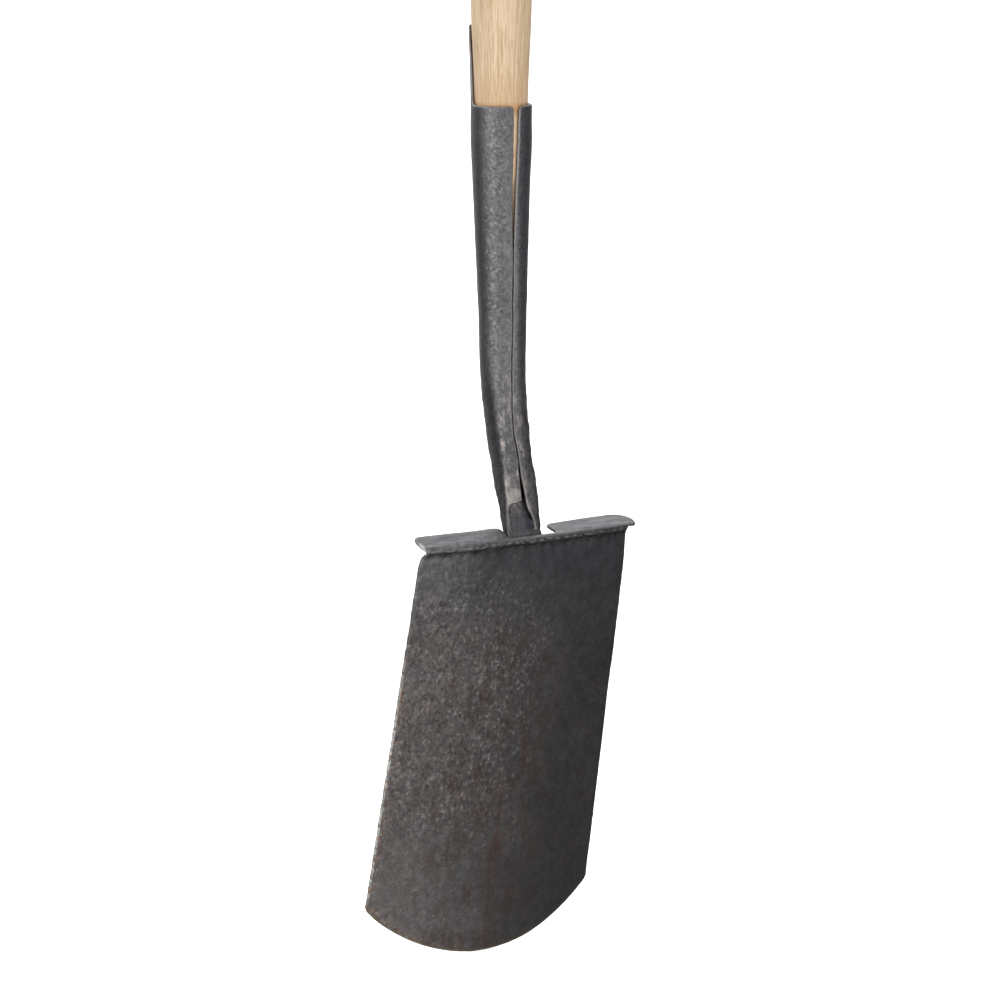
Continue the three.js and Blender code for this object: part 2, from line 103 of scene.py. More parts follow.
# ---- Driving dimensions, in millimetres and degrees ----
SHEET = 2.2
BLADE = dict(
    top_width=147.5,
    bottom_width=162,
    side_length=249.5,
    crown=36.1,
    crown_power=2.24,
    edge_sheet=1.2,
    top_dish=3.15,
    bottom_dish=10.7,
    tilt=math.radians(12.8),
    fold_x=-1.3,
    fold_radius=2.9,
)
TREAD = dict(
    depth=17.8,
    outer_depth=18.4,
    left_end=-75,
    right_end=80.8,
    notch_left=-13,
    notch_right=20,
    notch_depth=4.4,
)
MOUTH_Z = 267.8
PLATE = 2.3
STRAP = dict(half_width=17.4, corner=3, top_plate=1.4)
STRAP_TOP = box_mm("socket")[1][2]


def table(*rows):
    """Rows of numbers as an array, in the order of their first number."""
    rows = np.array(rows, float)
    return rows[np.argsort(rows[:, 0])]


# Sections of the socket and neck: height, middle (y), outside width and depth, and squareness (2 is round).
SECTIONS = table(
    (STRAP_TOP, 0, 40.4, 40.4, 2),
    (MOUTH_Z, 0, 38, 38, 2),
    (244, 0, 38, 38, 2),
    (226, -0.1, 36.3, 36.3, 2),
    (182, -0.6, 33.2, 33.2, 2),
    (137, -1.5, 30.2, 30.2, 2),
    (92, -2.9, 27.8, 27.8, 2.1),
    (70, -6.9, 26, 26, 2.4),
    (47, -12.8, 24.4, 22.6, 3),
    (33, -17.3, 24.2, 18.8, 3.6),
    (25, -20.1, 24.3, 16, 4),
    (16, -22.9, 24.4, 12.6, 4.4),
    (9, -24.5, 24.4, 10.4, 4.7),
    (3, -25.8, 24.4, 8.6, 5),
    (-2, -26.9, 24.4, 7.4, 5),
)

# The foot of the neck and the tang, at distances down the blade: how far it stands off the digging face, its
# thickness and its half width.
TANG = table(
    (-17, 16.1, 7.4, 11),
    (-11, 12.2, 7.4, 11.3),
    (-6, 9.2, 7.4, 11.7),
    (1.2, 5.1, 7.2, 12.1),
    (2.4, 3.85, 7.9, 12.2),
    (5, 3, 7.6, 12.4),
    (12, 1.8, 6.4, 13.4),
    (22, 0.4, 5.2, 16.8),
    (38, 0.4, 3.8, 20.4),
    (62, 0.4, 3, 21),
    (88, 0.4, 2.7, 16.5),
    (108, 0.4, 2.5, 8.5),
    (116, 0.4, 2.3, 2.4),
)

# The seam at the back of the socket: height, its middle's offset to the right and its gap.
SEAM = table(
    (MOUTH_Z, 0.2, 3.7),
    (240, -0.4, 2.9),
    (208, -0.9, 1.9),
    (175, -1.0, 0.6),
    (146, -1.0, 0.5),
    (90, -1.8, 0.5),
    (62, -2.8, 0.6),
    (50, -1.6, 0.9),
    (35, -0.9, 1.6),
    (22, 0.3, 3.2),
)


# ---- Small helpers ----
def smooth_curve(rows, position, column):
    """A column of a table read at positions, by a smooth curve through its rows."""
    keys, values = rows[:, 0], rows[:, column]
    slopes = np.gradient(values, keys)
    at = np.clip(position, keys[0], keys[-1])
    index = np.clip(np.searchsorted(keys, at, side="right") - 1, 0, len(keys) - 2)
    span = keys[index + 1] - keys[index]
    t = (at - keys[index]) / span
    bend = span * t * (1 - t) * lerp(slopes[index], -slopes[index + 1], t)
    return lerp(values[index], values[index + 1], t * t * (3 - 2 * t)) + bend


def lerp(a, b, t):
    return a + (b - a) * t


def smoothstep(low, high, value):
    t = np.clip((value - low) / (high - low), 0, 1)
    return t * t * (3 - 2 * t)


def bump(value, middle, width):
    """A smooth bump, 1 at its middle."""
    return np.exp(-(((value - middle) / width) ** 2))


def unit(vectors):
    return vectors / np.linalg.norm(vectors, axis=-1, keepdims=True)


def roughness(points, size, seed, octaves=3):
    """Smooth noise, about -1 to 1, with features of `size` millimetres, at each point."""
    shift = Vector((seed * 17.3, seed * 5.1, seed * 9.7))
    return np.array([noise.fractal(Vector(p) / size + shift, 0.8, 2.0, octaves) for p in points])


def roughness_along(values, size, seed):
    """The same along a line, at each of some distances."""
    return roughness([(value, 0, 0) for value in values], size, seed)


def curve(*controls, steps=8):
    """Points along a quadratic Bezier curve, without its last one."""
    a, b, c = (np.array(p, float) for p in controls)
    t = np.linspace(0, 1, steps, endpoint=False)[:, None]
    return (1 - t) ** 2 * a + 2 * t * (1 - t) * b + t**2 * c


def resample(loop, spacing):
    """The same closed loop with points about `spacing` apart; corners stay, and repeated points go."""
    loop = loop[np.linalg.norm(np.roll(loop, -1, axis=0) - loop, axis=1) > 0.05]
    made = []
    for a, b in zip(loop, np.roll(loop, -1, axis=0)):
        count = max(1, round(np.linalg.norm(b - a) / spacing))
        made.append(a + (b - a) * np.linspace(0, 1, count, endpoint=False)[:, None])
    return np.vstack(made)


# ---- Sheets with rounded edges ----
def inward_normals(loop):
    """A mitred inward direction at each point of a loop that runs anticlockwise."""
    edges = unit(np.roll(loop, -1, axis=0) - loop)
    normals = np.stack([-edges[:, 1], edges[:, 0]], 1)
    both = unit(normals + np.roll(normals, 1, axis=0))
    return both / np.clip(np.sum(both * normals, 1, keepdims=True), 0.6, 1)


def distance_to_loop(points, loop):
    """Each point's distance to the closed loop, and whether it lies inside."""
    x, y = points.T
    nearest = np.full(len(points), np.inf)
    inside = np.zeros(len(points), bool)
    for a, b in zip(loop, np.roll(loop, -1, axis=0)):
        d = b - a
        t = np.clip((points - a) @ d / (d @ d), 0, 1)
        nearest = np.minimum(nearest, np.linalg.norm(points - a - t[:, None] * d, axis=1))
        crosses = (a[1] > y) != (b[1] > y)
        inside ^= crosses & (x < a[0] + (y - a[1]) * d[0] / (d[1] or 1))
    return nearest, inside


def hex_grid(low, high, spacing):
    xs = np.arange(low[0], high[0], spacing)
    ys = np.arange(low[1], high[1], spacing * 0.866)
    grid = np.stack(np.meshgrid(xs, ys), 2)
    grid[1::2, :, 0] += spacing / 2
    return grid.reshape(-1, 2)


def sheet_mesh(outline, surface, thickness, edge_radius, spacing, fine_band=None):
    """A closed sheet over an outline in the plane. surface(points) gives the outside's points and normals.

    fine_band lists the lowest and highest second coordinate of a band with finer triangles, and their size.

    Returns vertices, triangles, each vertex's distance from the sheet's edge and its place in the plane.
    """
    following = np.roll(outline, -1, axis=0)
    if np.sum(outline[:, 0] * following[:, 1] - outline[:, 1] * following[:, 0]) < 0:
        outline = outline[::-1]
    inward = inward_normals(outline)
    rings = [outline + inward * edge_radius * (1 - math.cos(math.radians(turn))) for turn in (30, 60, 90)]
    grid = hex_grid(outline.min(0), outline.max(0), spacing)
    if fine_band:
        low, high, fine = fine_band
        coarse = grid[(grid[:, 1] < low) | (grid[:, 1] > high)]
        grid = np.vstack([coarse, hex_grid((outline[:, 0].min(), low), (outline[:, 0].max(), high), fine)])
    distance, inside = distance_to_loop(grid, outline)
    grid = grid[inside & (distance > edge_radius + 0.5 * spacing)]
    count = len(outline)
    points = [Vector(p) for p in np.vstack([outline, *rings, grid])]
    loops = [(r * count + i, r * count + (i + 1) % count) for r in range(4) for i in range(count)]
    flat, _, faces, *_ = delaunay_2d_cdt(points, loops, [], 1, 1e-6)
    flat = np.array(flat)
    faces = np.array([f for f in faces if len(f) == 3])
    distance, _ = distance_to_loop(flat, outline)
    on_edge = distance < 1e-4
    position, normal = surface(flat)
    half = thickness(flat) / 2
    share = np.clip(distance / np.minimum(edge_radius, half), 0, 1)
    swell = np.sqrt(1 - (1 - share) ** 2)
    swell[on_edge] = 0
    outer = position - normal * (half * (1 - swell))[:, None]
    inner = position - normal * (half * (1 + swell))[:, None]
    inner_index = np.cumsum(~on_edge) - 1 + len(flat)
    inner_index[on_edge] = np.nonzero(on_edge)[0]
    off_edge = ~on_edge
    vertices = np.vstack([outer, inner[off_edge]])
    triangles = np.vstack([faces, inner_index[faces][:, ::-1]])
    return vertices, triangles, np.append(distance, distance[off_edge]), np.vstack([flat, flat[off_edge]])


def surface_normals(place, points, step=0.3):
    """Normals of place(points), turned to dP/du x dP/dv."""
    along_u, along_v = (place(points + move) - place(points - move) for move in step * np.eye(2))
    return unit(np.cross(along_u, along_v))


def add_object(name, vertices, faces, smooth=True, **attributes):
    """A closed mesh object in the part's frame, its faces turned out, with a float attribute per keyword."""
    data = bpy.data.meshes.new(name)
    data.from_pydata(to_frame(vertices).tolist(), [], [list(map(int, f)) for f in faces])
    data.validate()
    for key, values in attributes.items():
        data.attributes.new(key, "FLOAT", "POINT").data.foreach_set("value", np.float32(values))
    if smooth:
        data.shade_smooth()
    mesh = bmesh.new()
    mesh.from_mesh(data)
    bmesh.ops.recalc_face_normals(mesh, faces=mesh.faces)
    mesh.to_mesh(data)
    mesh.free()
    made = bpy.data.objects.new(name, data)
    bpy.context.scene.collection.objects.link(made)
    return made


# ---- Blade ----
BLADE_DOWN = np.array([0, math.sin(BLADE["tilt"]), -math.cos(BLADE["tilt"])])
BLADE_FORWARD = np.array([0, math.cos(BLADE["tilt"]), math.sin(BLADE["tilt"])])
TREAD_OUT = np.array([0, math.cos(TREAD_RISE), math.sin(TREAD_RISE)])
FOLD_MIDDLE = np.array([0, FOLD_Y, 0])
FOLD_TURN = math.pi / 2 + BLADE["tilt"] - TREAD_RISE
FOLD_ARC = BLADE["fold_radius"] * FOLD_TURN
FOLD_TANGENT = BLADE["fold_radius"] * math.tan(FOLD_TURN / 2)
EDGE_ROUND = 0.55  # how far the worn round edges reach past the sharp ones of the plain sheet


def from_fold(x, down, forward):
    """Points at x, at distances down the blade and forward of its middle, from the fold's sharp corner."""
    x, down, forward = (np.asarray(v)[:, None] for v in (x, down, forward))
    return FOLD_MIDDLE + x * AXIS_X + down * BLADE_DOWN + forward * BLADE_FORWARD


def blade_half(down):
    share = np.clip(down / BLADE["side_length"], 0, 1)
    return EDGE_ROUND + lerp(BLADE["top_width"], BLADE["bottom_width"], share) / 2


def blade_dish(x, down):
    """How far the blade stands forward of its middle, at a distance x from the shaft's axis."""
    share = np.clip(down / BLADE["side_length"], 0, 1)
    across = (x - BLADE["fold_x"]) / blade_half(down)
    return lerp(BLADE["top_dish"], BLADE["bottom_dish"], share) * across**2


def blade_flat(x, down):
    """The flat pattern's point (x, s) for a distance down the blade; s is 0 halfway round the fold."""
    return np.stack([x + 0 * down, down - FOLD_TANGENT + FOLD_ARC / 2 + 0 * x], -1)


def tread_flat(x, depth):
    """The flat pattern's point for a depth along the tread, from the fold's middle."""
    x, depth = np.broadcast_arrays(np.asarray(x, float), np.asarray(depth, float))
    return np.stack([x, FOLD_TANGENT - FOLD_ARC / 2 - (depth - blade_dish(x, np.zeros_like(x)))], -1)


def fold_bow(x, s):
    """How far the fold and the treads are bent up at x: most in the middle and on the right."""
    right = 0.95 * smoothstep(-44, -12, x) + 0.3 * smoothstep(15, 40, x) - 1.0 * smoothstep(68, 84, x)
    left = 0.5 * smoothstep(-30, -50, x) * smoothstep(-2, -16, s)
    return right * (1 - smoothstep(4, 34, s)) + left


def blade_place(points):
    """The flat pattern folded and dished: the middle of the back's surface, without its dents."""
    x, s = points[:, 0], points[:, 1]
    down = np.maximum(s - FOLD_ARC / 2, 0) + FOLD_TANGENT
    out = np.maximum(-s - FOLD_ARC / 2, 0) + FOLD_TANGENT
    turn = np.clip(0.5 - s / FOLD_ARC, 0, 1)
    ahead = lerp(BLADE_FORWARD, TREAD_OUT, smoothstep(0, 1, turn)[:, None])
    corner = FOLD_MIDDLE + x[:, None] * AXIS_X + blade_dish(x, np.where(s > 0, down, 0))[:, None] * ahead
    centre = unit(TREAD_OUT + BLADE_DOWN) * BLADE["fold_radius"] / math.cos(FOLD_TURN / 2)
    angle = math.pi / 2 + TREAD_RISE + (1 - turn) * FOLD_TURN
    arc = centre + BLADE["fold_radius"] * (np.cos(angle)[:, None] * AXIS_Y + np.sin(angle)[:, None] * AXIS_Z)
    reach = np.where((turn >= 1)[:, None], out[:, None] * TREAD_OUT, arc)
    reach = np.where((turn <= 0)[:, None], down[:, None] * BLADE_DOWN, reach)
    return corner + fold_bow(x, s)[:, None] * AXIS_Z + reach


def tread_curve(*controls, steps=8):
    """A curve of the treads' outline, through (x, depth) points."""
    return curve(*(tread_flat(x, depth) for x, depth in controls), steps=steps)


def tread_outline():
    """The treads' outline, from the left one's end over the neck's notch to the right one's root."""
    depth, outer, strip = TREAD["depth"], TREAD["outer_depth"], TREAD["notch_depth"]
    left, right = TREAD["left_end"], TREAD["right_end"]
    inner, slant = TREAD["notch_left"], TREAD["notch_right"]
    root = BLADE["fold_x"] + blade_half(0) + 1
    bits = [
        tread_curve((left, 12), (left, depth), (left + 5, depth), steps=10),
        tread_flat(np.linspace(left + 5, inner - 5, 40), depth - 0.2)[:-1],
        tread_curve((inner - 5, depth - 0.5), (inner, depth - 0.6), (inner, depth - 5)),
        tread_curve((inner, strip + 2.5), (inner, strip), (inner + 2.5, strip), steps=5),
        tread_curve((slant - 1, strip), (slant + 1.1, strip), (slant + 1, strip + 3), steps=5),
        tread_curve((slant - 0.8, depth - 5.4), (slant - 1.2, depth - 2.4), (slant + 2, depth - 1.8)),
        tread_flat(np.linspace(slant + 2, right - 15, 34), np.linspace(depth - 1.8, outer, 34))[:-1],
        tread_curve((right - 15, outer), (right + 0.4, outer), (right, outer - 9), steps=12),
        tread_curve((right, 9.4), (right - 0.3, 3.6), (root, 3.4)),
    ]
    return np.vstack(bits)


def cutting_edge():
    """The cutting edge's worn curve, from right to left."""
    across = np.linspace(1, -1, 121)[1:-1]
    half = blade_half(BLADE["side_length"])
    crown = BLADE["crown"] * (1 - np.abs(across) ** BLADE["crown_power"])
    crown += 0.9 * bump(across, -0.9, 0.12) - 0.9 * bump(across, -0.42, 0.25)
    crown += EDGE_ROUND - edge_nicks(across * half, 5, 0.12)
    return blade_flat(BLADE["fold_x"] + across * half, BLADE["side_length"] + crown)


def blade_outline():
    """The blade's and treads' outline in the flat pattern, anticlockwise seen with s downwards."""
    fold_x, left = BLADE["fold_x"], TREAD["left_end"]
    corner = fold_x + blade_half(0)
    roots = (tread_flat(corner + 1, 3.4), tread_flat(corner - 0.6, 3), blade_flat(corner - 1, 6))
    end = (blade_flat(left + 3.6, 3.5), blade_flat(left + 1.8, 2), tread_flat(left, 5.5))
    down = np.linspace(6, BLADE["side_length"] - 0.8, 110)
    worn = bump(down, 4, 14) + edge_nicks(down, 3, 0.25)
    up = down[::-1]
    left_worn = 2.8 * np.clip(1 - up / 16, 0, 1) ** 2 + edge_nicks(up, 1, 0.55)
    bits = [
        tread_outline(),
        curve(*roots, steps=4),
        blade_flat(fold_x + blade_half(down) - worn, down),
        cutting_edge(),
        blade_flat(fold_x - blade_half(up) + left_worn, up),
        curve(*end, steps=4),
    ]
    return np.vstack(bits)


def edge_nicks(along, seed, depth):
    """How far an edge is worn in along its length: small waves and a few deeper nicks."""
    waves = roughness_along(along, 5, seed)
    nicks = np.clip(roughness_along(along, 2.2, seed + 20) - 0.3, 0, 1)
    return depth * (0.6 * waves + 1.4 * nicks)


def blade_surface(points):
    """The back of the blade with the smith's unevenness: a lip along the fold, long waves and small dents."""
    base = blade_place(points)
    normal = -surface_normals(blade_place, points)
    s = points[:, 1]
    uneven = 0.5 * roughness(base, 45, 2, 2) + 0.1 * roughness(base, 9, 4, 2)
    ridge = roughness_along(points[:, 0], 7, 6)
    broken = roughness([(x, along, 0) for x, along in points], 4, 26)
    lip = (0.65 + 0.5 * ridge + 0.35 * broken) * bump(s, 1.5 + 0.5 * ridge, 1.1)
    lip -= (0.5 + 0.35 * ridge - 0.3 * broken) * bump(s, 4.3 + 0.6 * ridge, 1.5)
    lip += 0.28 * broken * smoothstep(-14, -2, s) * smoothstep(26, 4, s)
    return base + normal * (uneven + lip)[:, None], normal


def blade_thickness(points):
    share = np.clip(points[:, 1] / (BLADE["side_length"] + BLADE["crown"]), 0, 1)
    return SHEET * lerp(1, BLADE["edge_sheet"] / SHEET, share**6)


def make_blade():
    """The blade and its treads, with finer triangles around the fold's beaten lip."""
    outline = resample(blade_outline(), 1.6)
    mesh = dict(edge_radius=1.0, spacing=2.4, fine_band=(-4, 9, 0.8))
    vertices, faces, edge, flat = sheet_mesh(outline, blade_surface, blade_thickness, **mesh)
    across, down = flat.T
    return add_object("spade_blade", vertices, faces, edge=edge, across=across - BLADE["fold_x"], down=down)


# ---- Socket, neck and tang ----
def section_loop(z, count=480):
    """A section of the socket's outside at height z, as points evenly spaced round it from the front."""
    y, width, depth, square = (smooth_curve(SECTIONS, z, column) for column in range(1, 5))
    tilt = math.atan(y - smooth_curve(SECTIONS, z - 1, 1))
    angle = np.linspace(-math.pi, math.pi, 1441)
    s, c = np.sin(angle), np.cos(angle)
    across = np.sign(s) * np.abs(s) ** (2 / square) * width / 2
    ahead = np.sign(c) * np.abs(c) ** (2 / square) * depth / 2
    steps = np.hypot(np.diff(across), np.diff(ahead))
    length = np.concatenate([[0], np.cumsum(steps)])
    even = np.linspace(0, length[-1], count + 1)
    across, ahead = np.interp(even, length, across), np.interp(even, length, ahead)
    loop = np.stack([across, y + ahead * math.cos(tilt), z - ahead * math.sin(tilt)], 1)
    return loop[:-1], length[-1]


SECTION_STEP = 0.5
SECTION_HEIGHTS = np.arange(SECTIONS[0, 0], SECTIONS[-1, 0] + 2 * SECTION_STEP, SECTION_STEP)
SECTION_LOOPS = [section_loop(z) for z in SECTION_HEIGHTS]
SECTION_POINTS = np.array([loop for loop, _ in SECTION_LOOPS])
SECTION_GIRTH = np.array([girth for _, girth in SECTION_LOOPS])


def girth_at(z):
    return np.interp(z, SECTION_HEIGHTS, SECTION_GIRTH)


def socket_place(points):
    """The socket's outside at (distance round from the front, height), both in millimetres."""
    around, z = points[:, 0], points[:, 1]
    row = np.clip((z - SECTION_HEIGHTS[0]) / SECTION_STEP, 0, len(SECTION_HEIGHTS) - 1.001)
    row0 = row.astype(int)
    count = SECTION_POINTS.shape[1]
    column = (around / girth_at(z) + 0.5) * count
    column0 = np.floor(column).astype(int)
    down, side = (row - row0)[:, None], (column - column0)[:, None]
    a, b = column0 % count, (column0 + 1) % count
    low = lerp(SECTION_POINTS[row0, a], SECTION_POINTS[row0, b], side)
    high = lerp(SECTION_POINTS[row0 + 1, a], SECTION_POINTS[row0 + 1, b], side)
    return lerp(low, high, down)


def seam_edge(z, side):
    """How far round from the front a folded edge ends at height z: side is 1 on the right, -1 on the left."""
    middle, gap = smooth_curve(SEAM, z, 1), smooth_curve(SEAM, z, 2)
    wear = 0.3 * roughness_along(np.atleast_1d(z), 7, 70 + side).reshape(np.shape(z))
    return side * (girth_at(z) / 2 - gap / 2 + wear) - middle


def strap_outline():
    """The strap with its roots on the mouth's rim, from left to right over its top."""
    root, top, corner = arc_half_width(MOUTH_Z), arc_half_width(STRAP_TOP), STRAP["corner"]
    side = [
        curve((top - corner, STRAP_TOP), (top, STRAP_TOP), (top, STRAP_TOP - corner)),
        np.linspace((top, STRAP_TOP - corner), (root, MOUTH_Z + 8), 14)[:-1],
        curve((root, MOUTH_Z + 8), (root, MOUTH_Z), (root + 7, MOUTH_Z)),
        [(root + 7, MOUTH_Z)],
    ]
    right = np.vstack(side)
    middle = np.linspace((corner - top, STRAP_TOP), (top - corner, STRAP_TOP), 18)
    return np.vstack([right[::-1] * (-1, 1), middle, right])


def socket_outline():
    """The socket's flat pattern with its strap, from the mouth's right corner downwards."""
    foot, seam_foot = SECTIONS[0, 0], SEAM[0, 0]
    z_right = np.linspace(MOUTH_Z - 3, seam_foot, 100)
    z_left = np.linspace(seam_foot, MOUTH_Z - 2, 100)
    right = np.stack([seam_edge(z_right, 1), z_right], 1)
    left = np.stack([seam_edge(z_left, -1), z_left], 1)
    mouth_right, mouth_left = seam_edge(MOUTH_Z, 1), seam_edge(MOUTH_Z, -1)
    flap, tongue = right[-1, 0], left[0, 0]
    wall = 0.73 * girth_at(foot) / 2  # how far round the walls reach at the foot: past the back's corners
    strap = strap_outline()
    bits = [
        curve((mouth_right - 3, MOUTH_Z), (mouth_right, MOUTH_Z), right[0], steps=6),
        right,
        curve(right[-1], (flap - 1.6, 17), (flap - 5, 13), steps=6),
        curve((flap - 5, 13), (wall + 1.5, 6), (wall, foot)),
        np.linspace((wall, foot), (-wall, foot), 40)[:-1],
        curve((-wall, foot), (-wall - 0.2, 10), (-wall - 0.6, 14)),
        curve((-wall - 0.6, 14), (-wall - 0.8, 19.6), (-wall - 5, 20), steps=6),
        curve((-wall - 5, 20), (tongue + 0.2, 20.2), left[0], steps=6),
        left,
        curve(left[-1], (mouth_left, MOUTH_Z), (mouth_left + 2, MOUTH_Z), steps=6),
        np.linspace((mouth_left + 2, MOUTH_Z), strap[0], 16)[:-1],
        strap,
        np.linspace(strap[-1], (mouth_right - 3, MOUTH_Z), 16)[1:-1],
    ]
    return np.vstack(bits)


def arc_half_width(z):
    """Half the strap's width, measured round the socket's surface at height z."""
    radius = girth_at(z) / (2 * math.pi)
    return radius * math.asin(STRAP["half_width"] / radius)


def socket_surface(points):
    """The socket's outside, beaten in the neck, with the seam's right edge tucked in beside its left one."""
    base = socket_place(points)
    normal = -surface_normals(socket_place, points)
    around, z = points.T
    uneven = 0.16 * roughness(base, 16, 8, 2) + 0.05 * roughness(base, 5, 9, 2)
    beaten = 0.45 * roughness(base, 7, 10, 2) + 0.22 * roughness(base, 3.4, 11, 2)
    beaten *= 1 - smoothstep(55, 125, z)
    closed = smoothstep(8, 30, z) * (1 - smoothstep(170, 215, z))
    tucked = 0.3 * bump(around - seam_edge(z, -1), 0, 1.6) - 0.95 * bump(seam_edge(z, 1) - around, 0, 2.6)
    return base + normal * (uneven + beaten + tucked * closed)[:, None], normal


def socket_thickness(points):
    share = smoothstep(MOUTH_Z, STRAP_TOP, points[:, 1])
    return lerp(PLATE, STRAP["top_plate"], share)


def tang_half(down):
    return smooth_curve(TANG, down, 3)


def tang_outline():
    down = np.linspace(TANG[0, 0], TANG[-1, 0], 100)
    right = np.stack([tang_half(down), down], 1)
    left = right[::-1] * (-1, 1)
    return np.vstack([right, left, np.linspace(left[-1], right[0], 20)[1:-1]])


def tang_place(points):
    """The tang's face, on the digging side, at (x, distance down the blade)."""
    x, down = points[:, 0], points[:, 1]
    forward = SHEET + smooth_curve(TANG, down, 1) + smooth_curve(TANG, down, 2) + blade_dish(x, down)
    return from_fold(x, down, forward)


def tang_surface(points):
    base = tang_place(points)
    normal = surface_normals(tang_place, points)
    return base + normal * (0.15 * roughness(base, 9, 12, 2))[:, None], normal


def tang_thickness(points):
    return smooth_curve(TANG, points[:, 1], 2)


def boolean(piece, other, operation):
    """Joins or cuts a mesh with another one, which is then removed."""
    modifier = piece.modifiers.new("join", "BOOLEAN")
    modifier.operation = operation
    modifier.solver = "EXACT"
    modifier.object = other
    depsgraph = bpy.context.evaluated_depsgraph_get()
    mesh = bpy.data.meshes.new_from_object(piece.evaluated_get(depsgraph))
    piece.modifiers.clear()
    piece.data = mesh
    bpy.data.objects.remove(other)
    return piece


def copy_edge(piece, points, values):
    """Gives each vertex of a mesh the edge value of the nearest of some points."""
    tree = KDTree(len(points))
    for i, p in enumerate(to_frame(points)):
        tree.insert(p, i)
    tree.balance()
    nearest = [values[tree.find(v.co)[1]] for v in piece.data.vertices]
    piece.data.attributes.new("edge", "FLOAT", "POINT").data.foreach_set("value", np.float32(nearest))


def make_socket():
    """The rolled socket with its strap and neck, and the tang, finer where it meets the fold."""
    mesh = dict(edge_radius=1.0, spacing=1.8)
    plate = sheet_mesh(resample(socket_outline(), 1.5), socket_surface, socket_thickness, **mesh)
    mesh = dict(edge_radius=1.1, spacing=2.0, fine_band=(-2, 5, 0.6))
    tang = sheet_mesh(resample(tang_outline(), 1.6), tang_surface, tang_thickness, **mesh)
    piece = add_object("spade_socket", *plate[:2])
    boolean(piece, add_object("tang", *tang[:2]), "UNION")
    copy_edge(piece, np.vstack([plate[0], tang[0]]), np.append(plate[2], tang[2]))
    piece.data.shade_smooth()
    return piece


# ---- Weld beads ----
WELD_RADIUS = 2.1
WELD_RIPPLE = 2.2


def make_weld(name, side):
    """A rippled bead along one edge of the tang: a round section that swells at each ripple."""
    low, high = box_mm(name)
    start = 1 - high[2] / math.cos(BLADE["tilt"])
    end = -low[2] / math.cos(BLADE["tilt"]) - 1
    down = np.linspace(start, end, 220)
    wander = roughness_along(down, 8, 30 + side)
    x = side * (tang_half(down) + 1.9) + 0.4 * wander
    radius = WELD_RADIUS * (1 + 0.06 * np.cos(down * 2 * math.pi / WELD_RIPPLE) + 0.1 * wander)
    radius *= np.sqrt(np.clip(np.minimum(down - start, end - down) / 3, 0.02, 1))
    middle = from_fold(x, down, SHEET + 1.0 + blade_dish(x, down))
    along = unit(np.gradient(middle, axis=0))
    across = unit(np.cross(along, BLADE_FORWARD))
    up = np.cross(across, along)
    turn = np.linspace(0, 2 * math.pi, 18, endpoint=False)[:, None]
    ring = np.cos(turn) * across[:, None] + np.sin(turn) * up[:, None]
    side_name = "right" if side > 0 else "left"
    return add_tube("weld_bead_" + side_name, middle[:, None] + ring * radius[:, None, None])


def add_tube(name, rings):
    """A closed object from rings of points, with a flat fan at each end."""
    steps, around = rings.shape[:2]
    first, last = steps * around, steps * around + 1
    faces = []
    for j in range(around):
        k = (j + 1) % around
        faces += [(i + j, i + k, i + around + k, i + around + j) for i in range(0, first - around, around)]
        faces += [(k, j, first), (first - around + j, first - around + k, last)]
    return add_object(name, np.vstack([rings.reshape(-1, 3), rings[0].mean(0), rings[-1].mean(0)]), faces)


# ---- Turned pieces ----
def lathe_rings(profile, direction, across, origin, around, uneven=0, seed=0):
    """Rings of points about an axis; profile lists (distance along it, radius)."""
    third = np.cross(direction, across)
    turn = np.linspace(0, 2 * math.pi, around, endpoint=False)
    spoke = np.cos(turn)[:, None] * across + np.sin(turn)[:, None] * third
    along, radius = np.array(profile).T
    middle = origin + along[:, None] * direction
    rings = middle[:, None] + radius[:, None, None] * spoke[None]
    if uneven:
        flat = rings.reshape(-1, 3)
        swell = roughness(flat * (1, 1, 0.3), 18, seed, 2).reshape(len(profile), around)
        rings = rings + uneven * swell[:, :, None] * spoke[None]
    return rings


def rounded_profile(points, radius):
    """A profile with each corner between its ends rounded off."""
    points = np.array(points, float)
    made = [points[:1]]
    for before, corner, after in zip(points, points[1:], points[2:]):
        arm = min(radius, np.linalg.norm(before - corner) / 2.1, np.linalg.norm(after - corner) / 2.1)
        start, end = corner + unit(before - corner) * arm, corner + unit(after - corner) * arm
        made += [curve(start, corner, end, steps=5), end[None]]
    made.append(points[-1:])
    return np.vstack(made)


GRIP_LOW, GRIP_HIGH = box_mm("t_grip")
GRIP_MIDDLE = (GRIP_LOW + GRIP_HIGH) / 2
GRIP_HALF, _, GRIP_RADIUS = (GRIP_HIGH - GRIP_LOW) / 2
GRIP_END_RADIUS = 14.5
GRIP_END_LENGTH = 7  # how much of each end of the grip is rounded over
TENON_RADIUS = 10.8
WEDGE = dict(foot=4.4, foot_thickness=1.2, top_thickness=3.2)
NAIL = dict(head_depth=2.4, shank_radius=1.9, lumps=0.14)
SHAFT_LOW, SHAFT_HIGH = box_mm("shaft")


def shaft_radius(height):
    """The shaft's radius: a cone in the socket, a reduced waist above it and a slow taper to the grip."""
    foot, mouth, grip = SHAFT_LOW[2], MOUTH_Z, GRIP_MIDDLE[2]
    full = (SHAFT_HIGH - SHAFT_LOW)[0] / 2
    profile = table(
        (foot, 5.5),
        *np.linspace((foot + 4, 7.5), (mouth - 55, 13.85), 12),
        (mouth - 40, 15.55),
        (mouth - 24, 16.25),
        (mouth, 16.45),
        (mouth + 27, full - 1.6),
        (mouth + 49, full - 0.6),
        (mouth + 69, full),
        (mouth + 117, full),
        (grip - 200, 16.6),
        (grip - 60, 15),
        (grip, 15),
    )
    return smooth_curve(profile, height, 1)


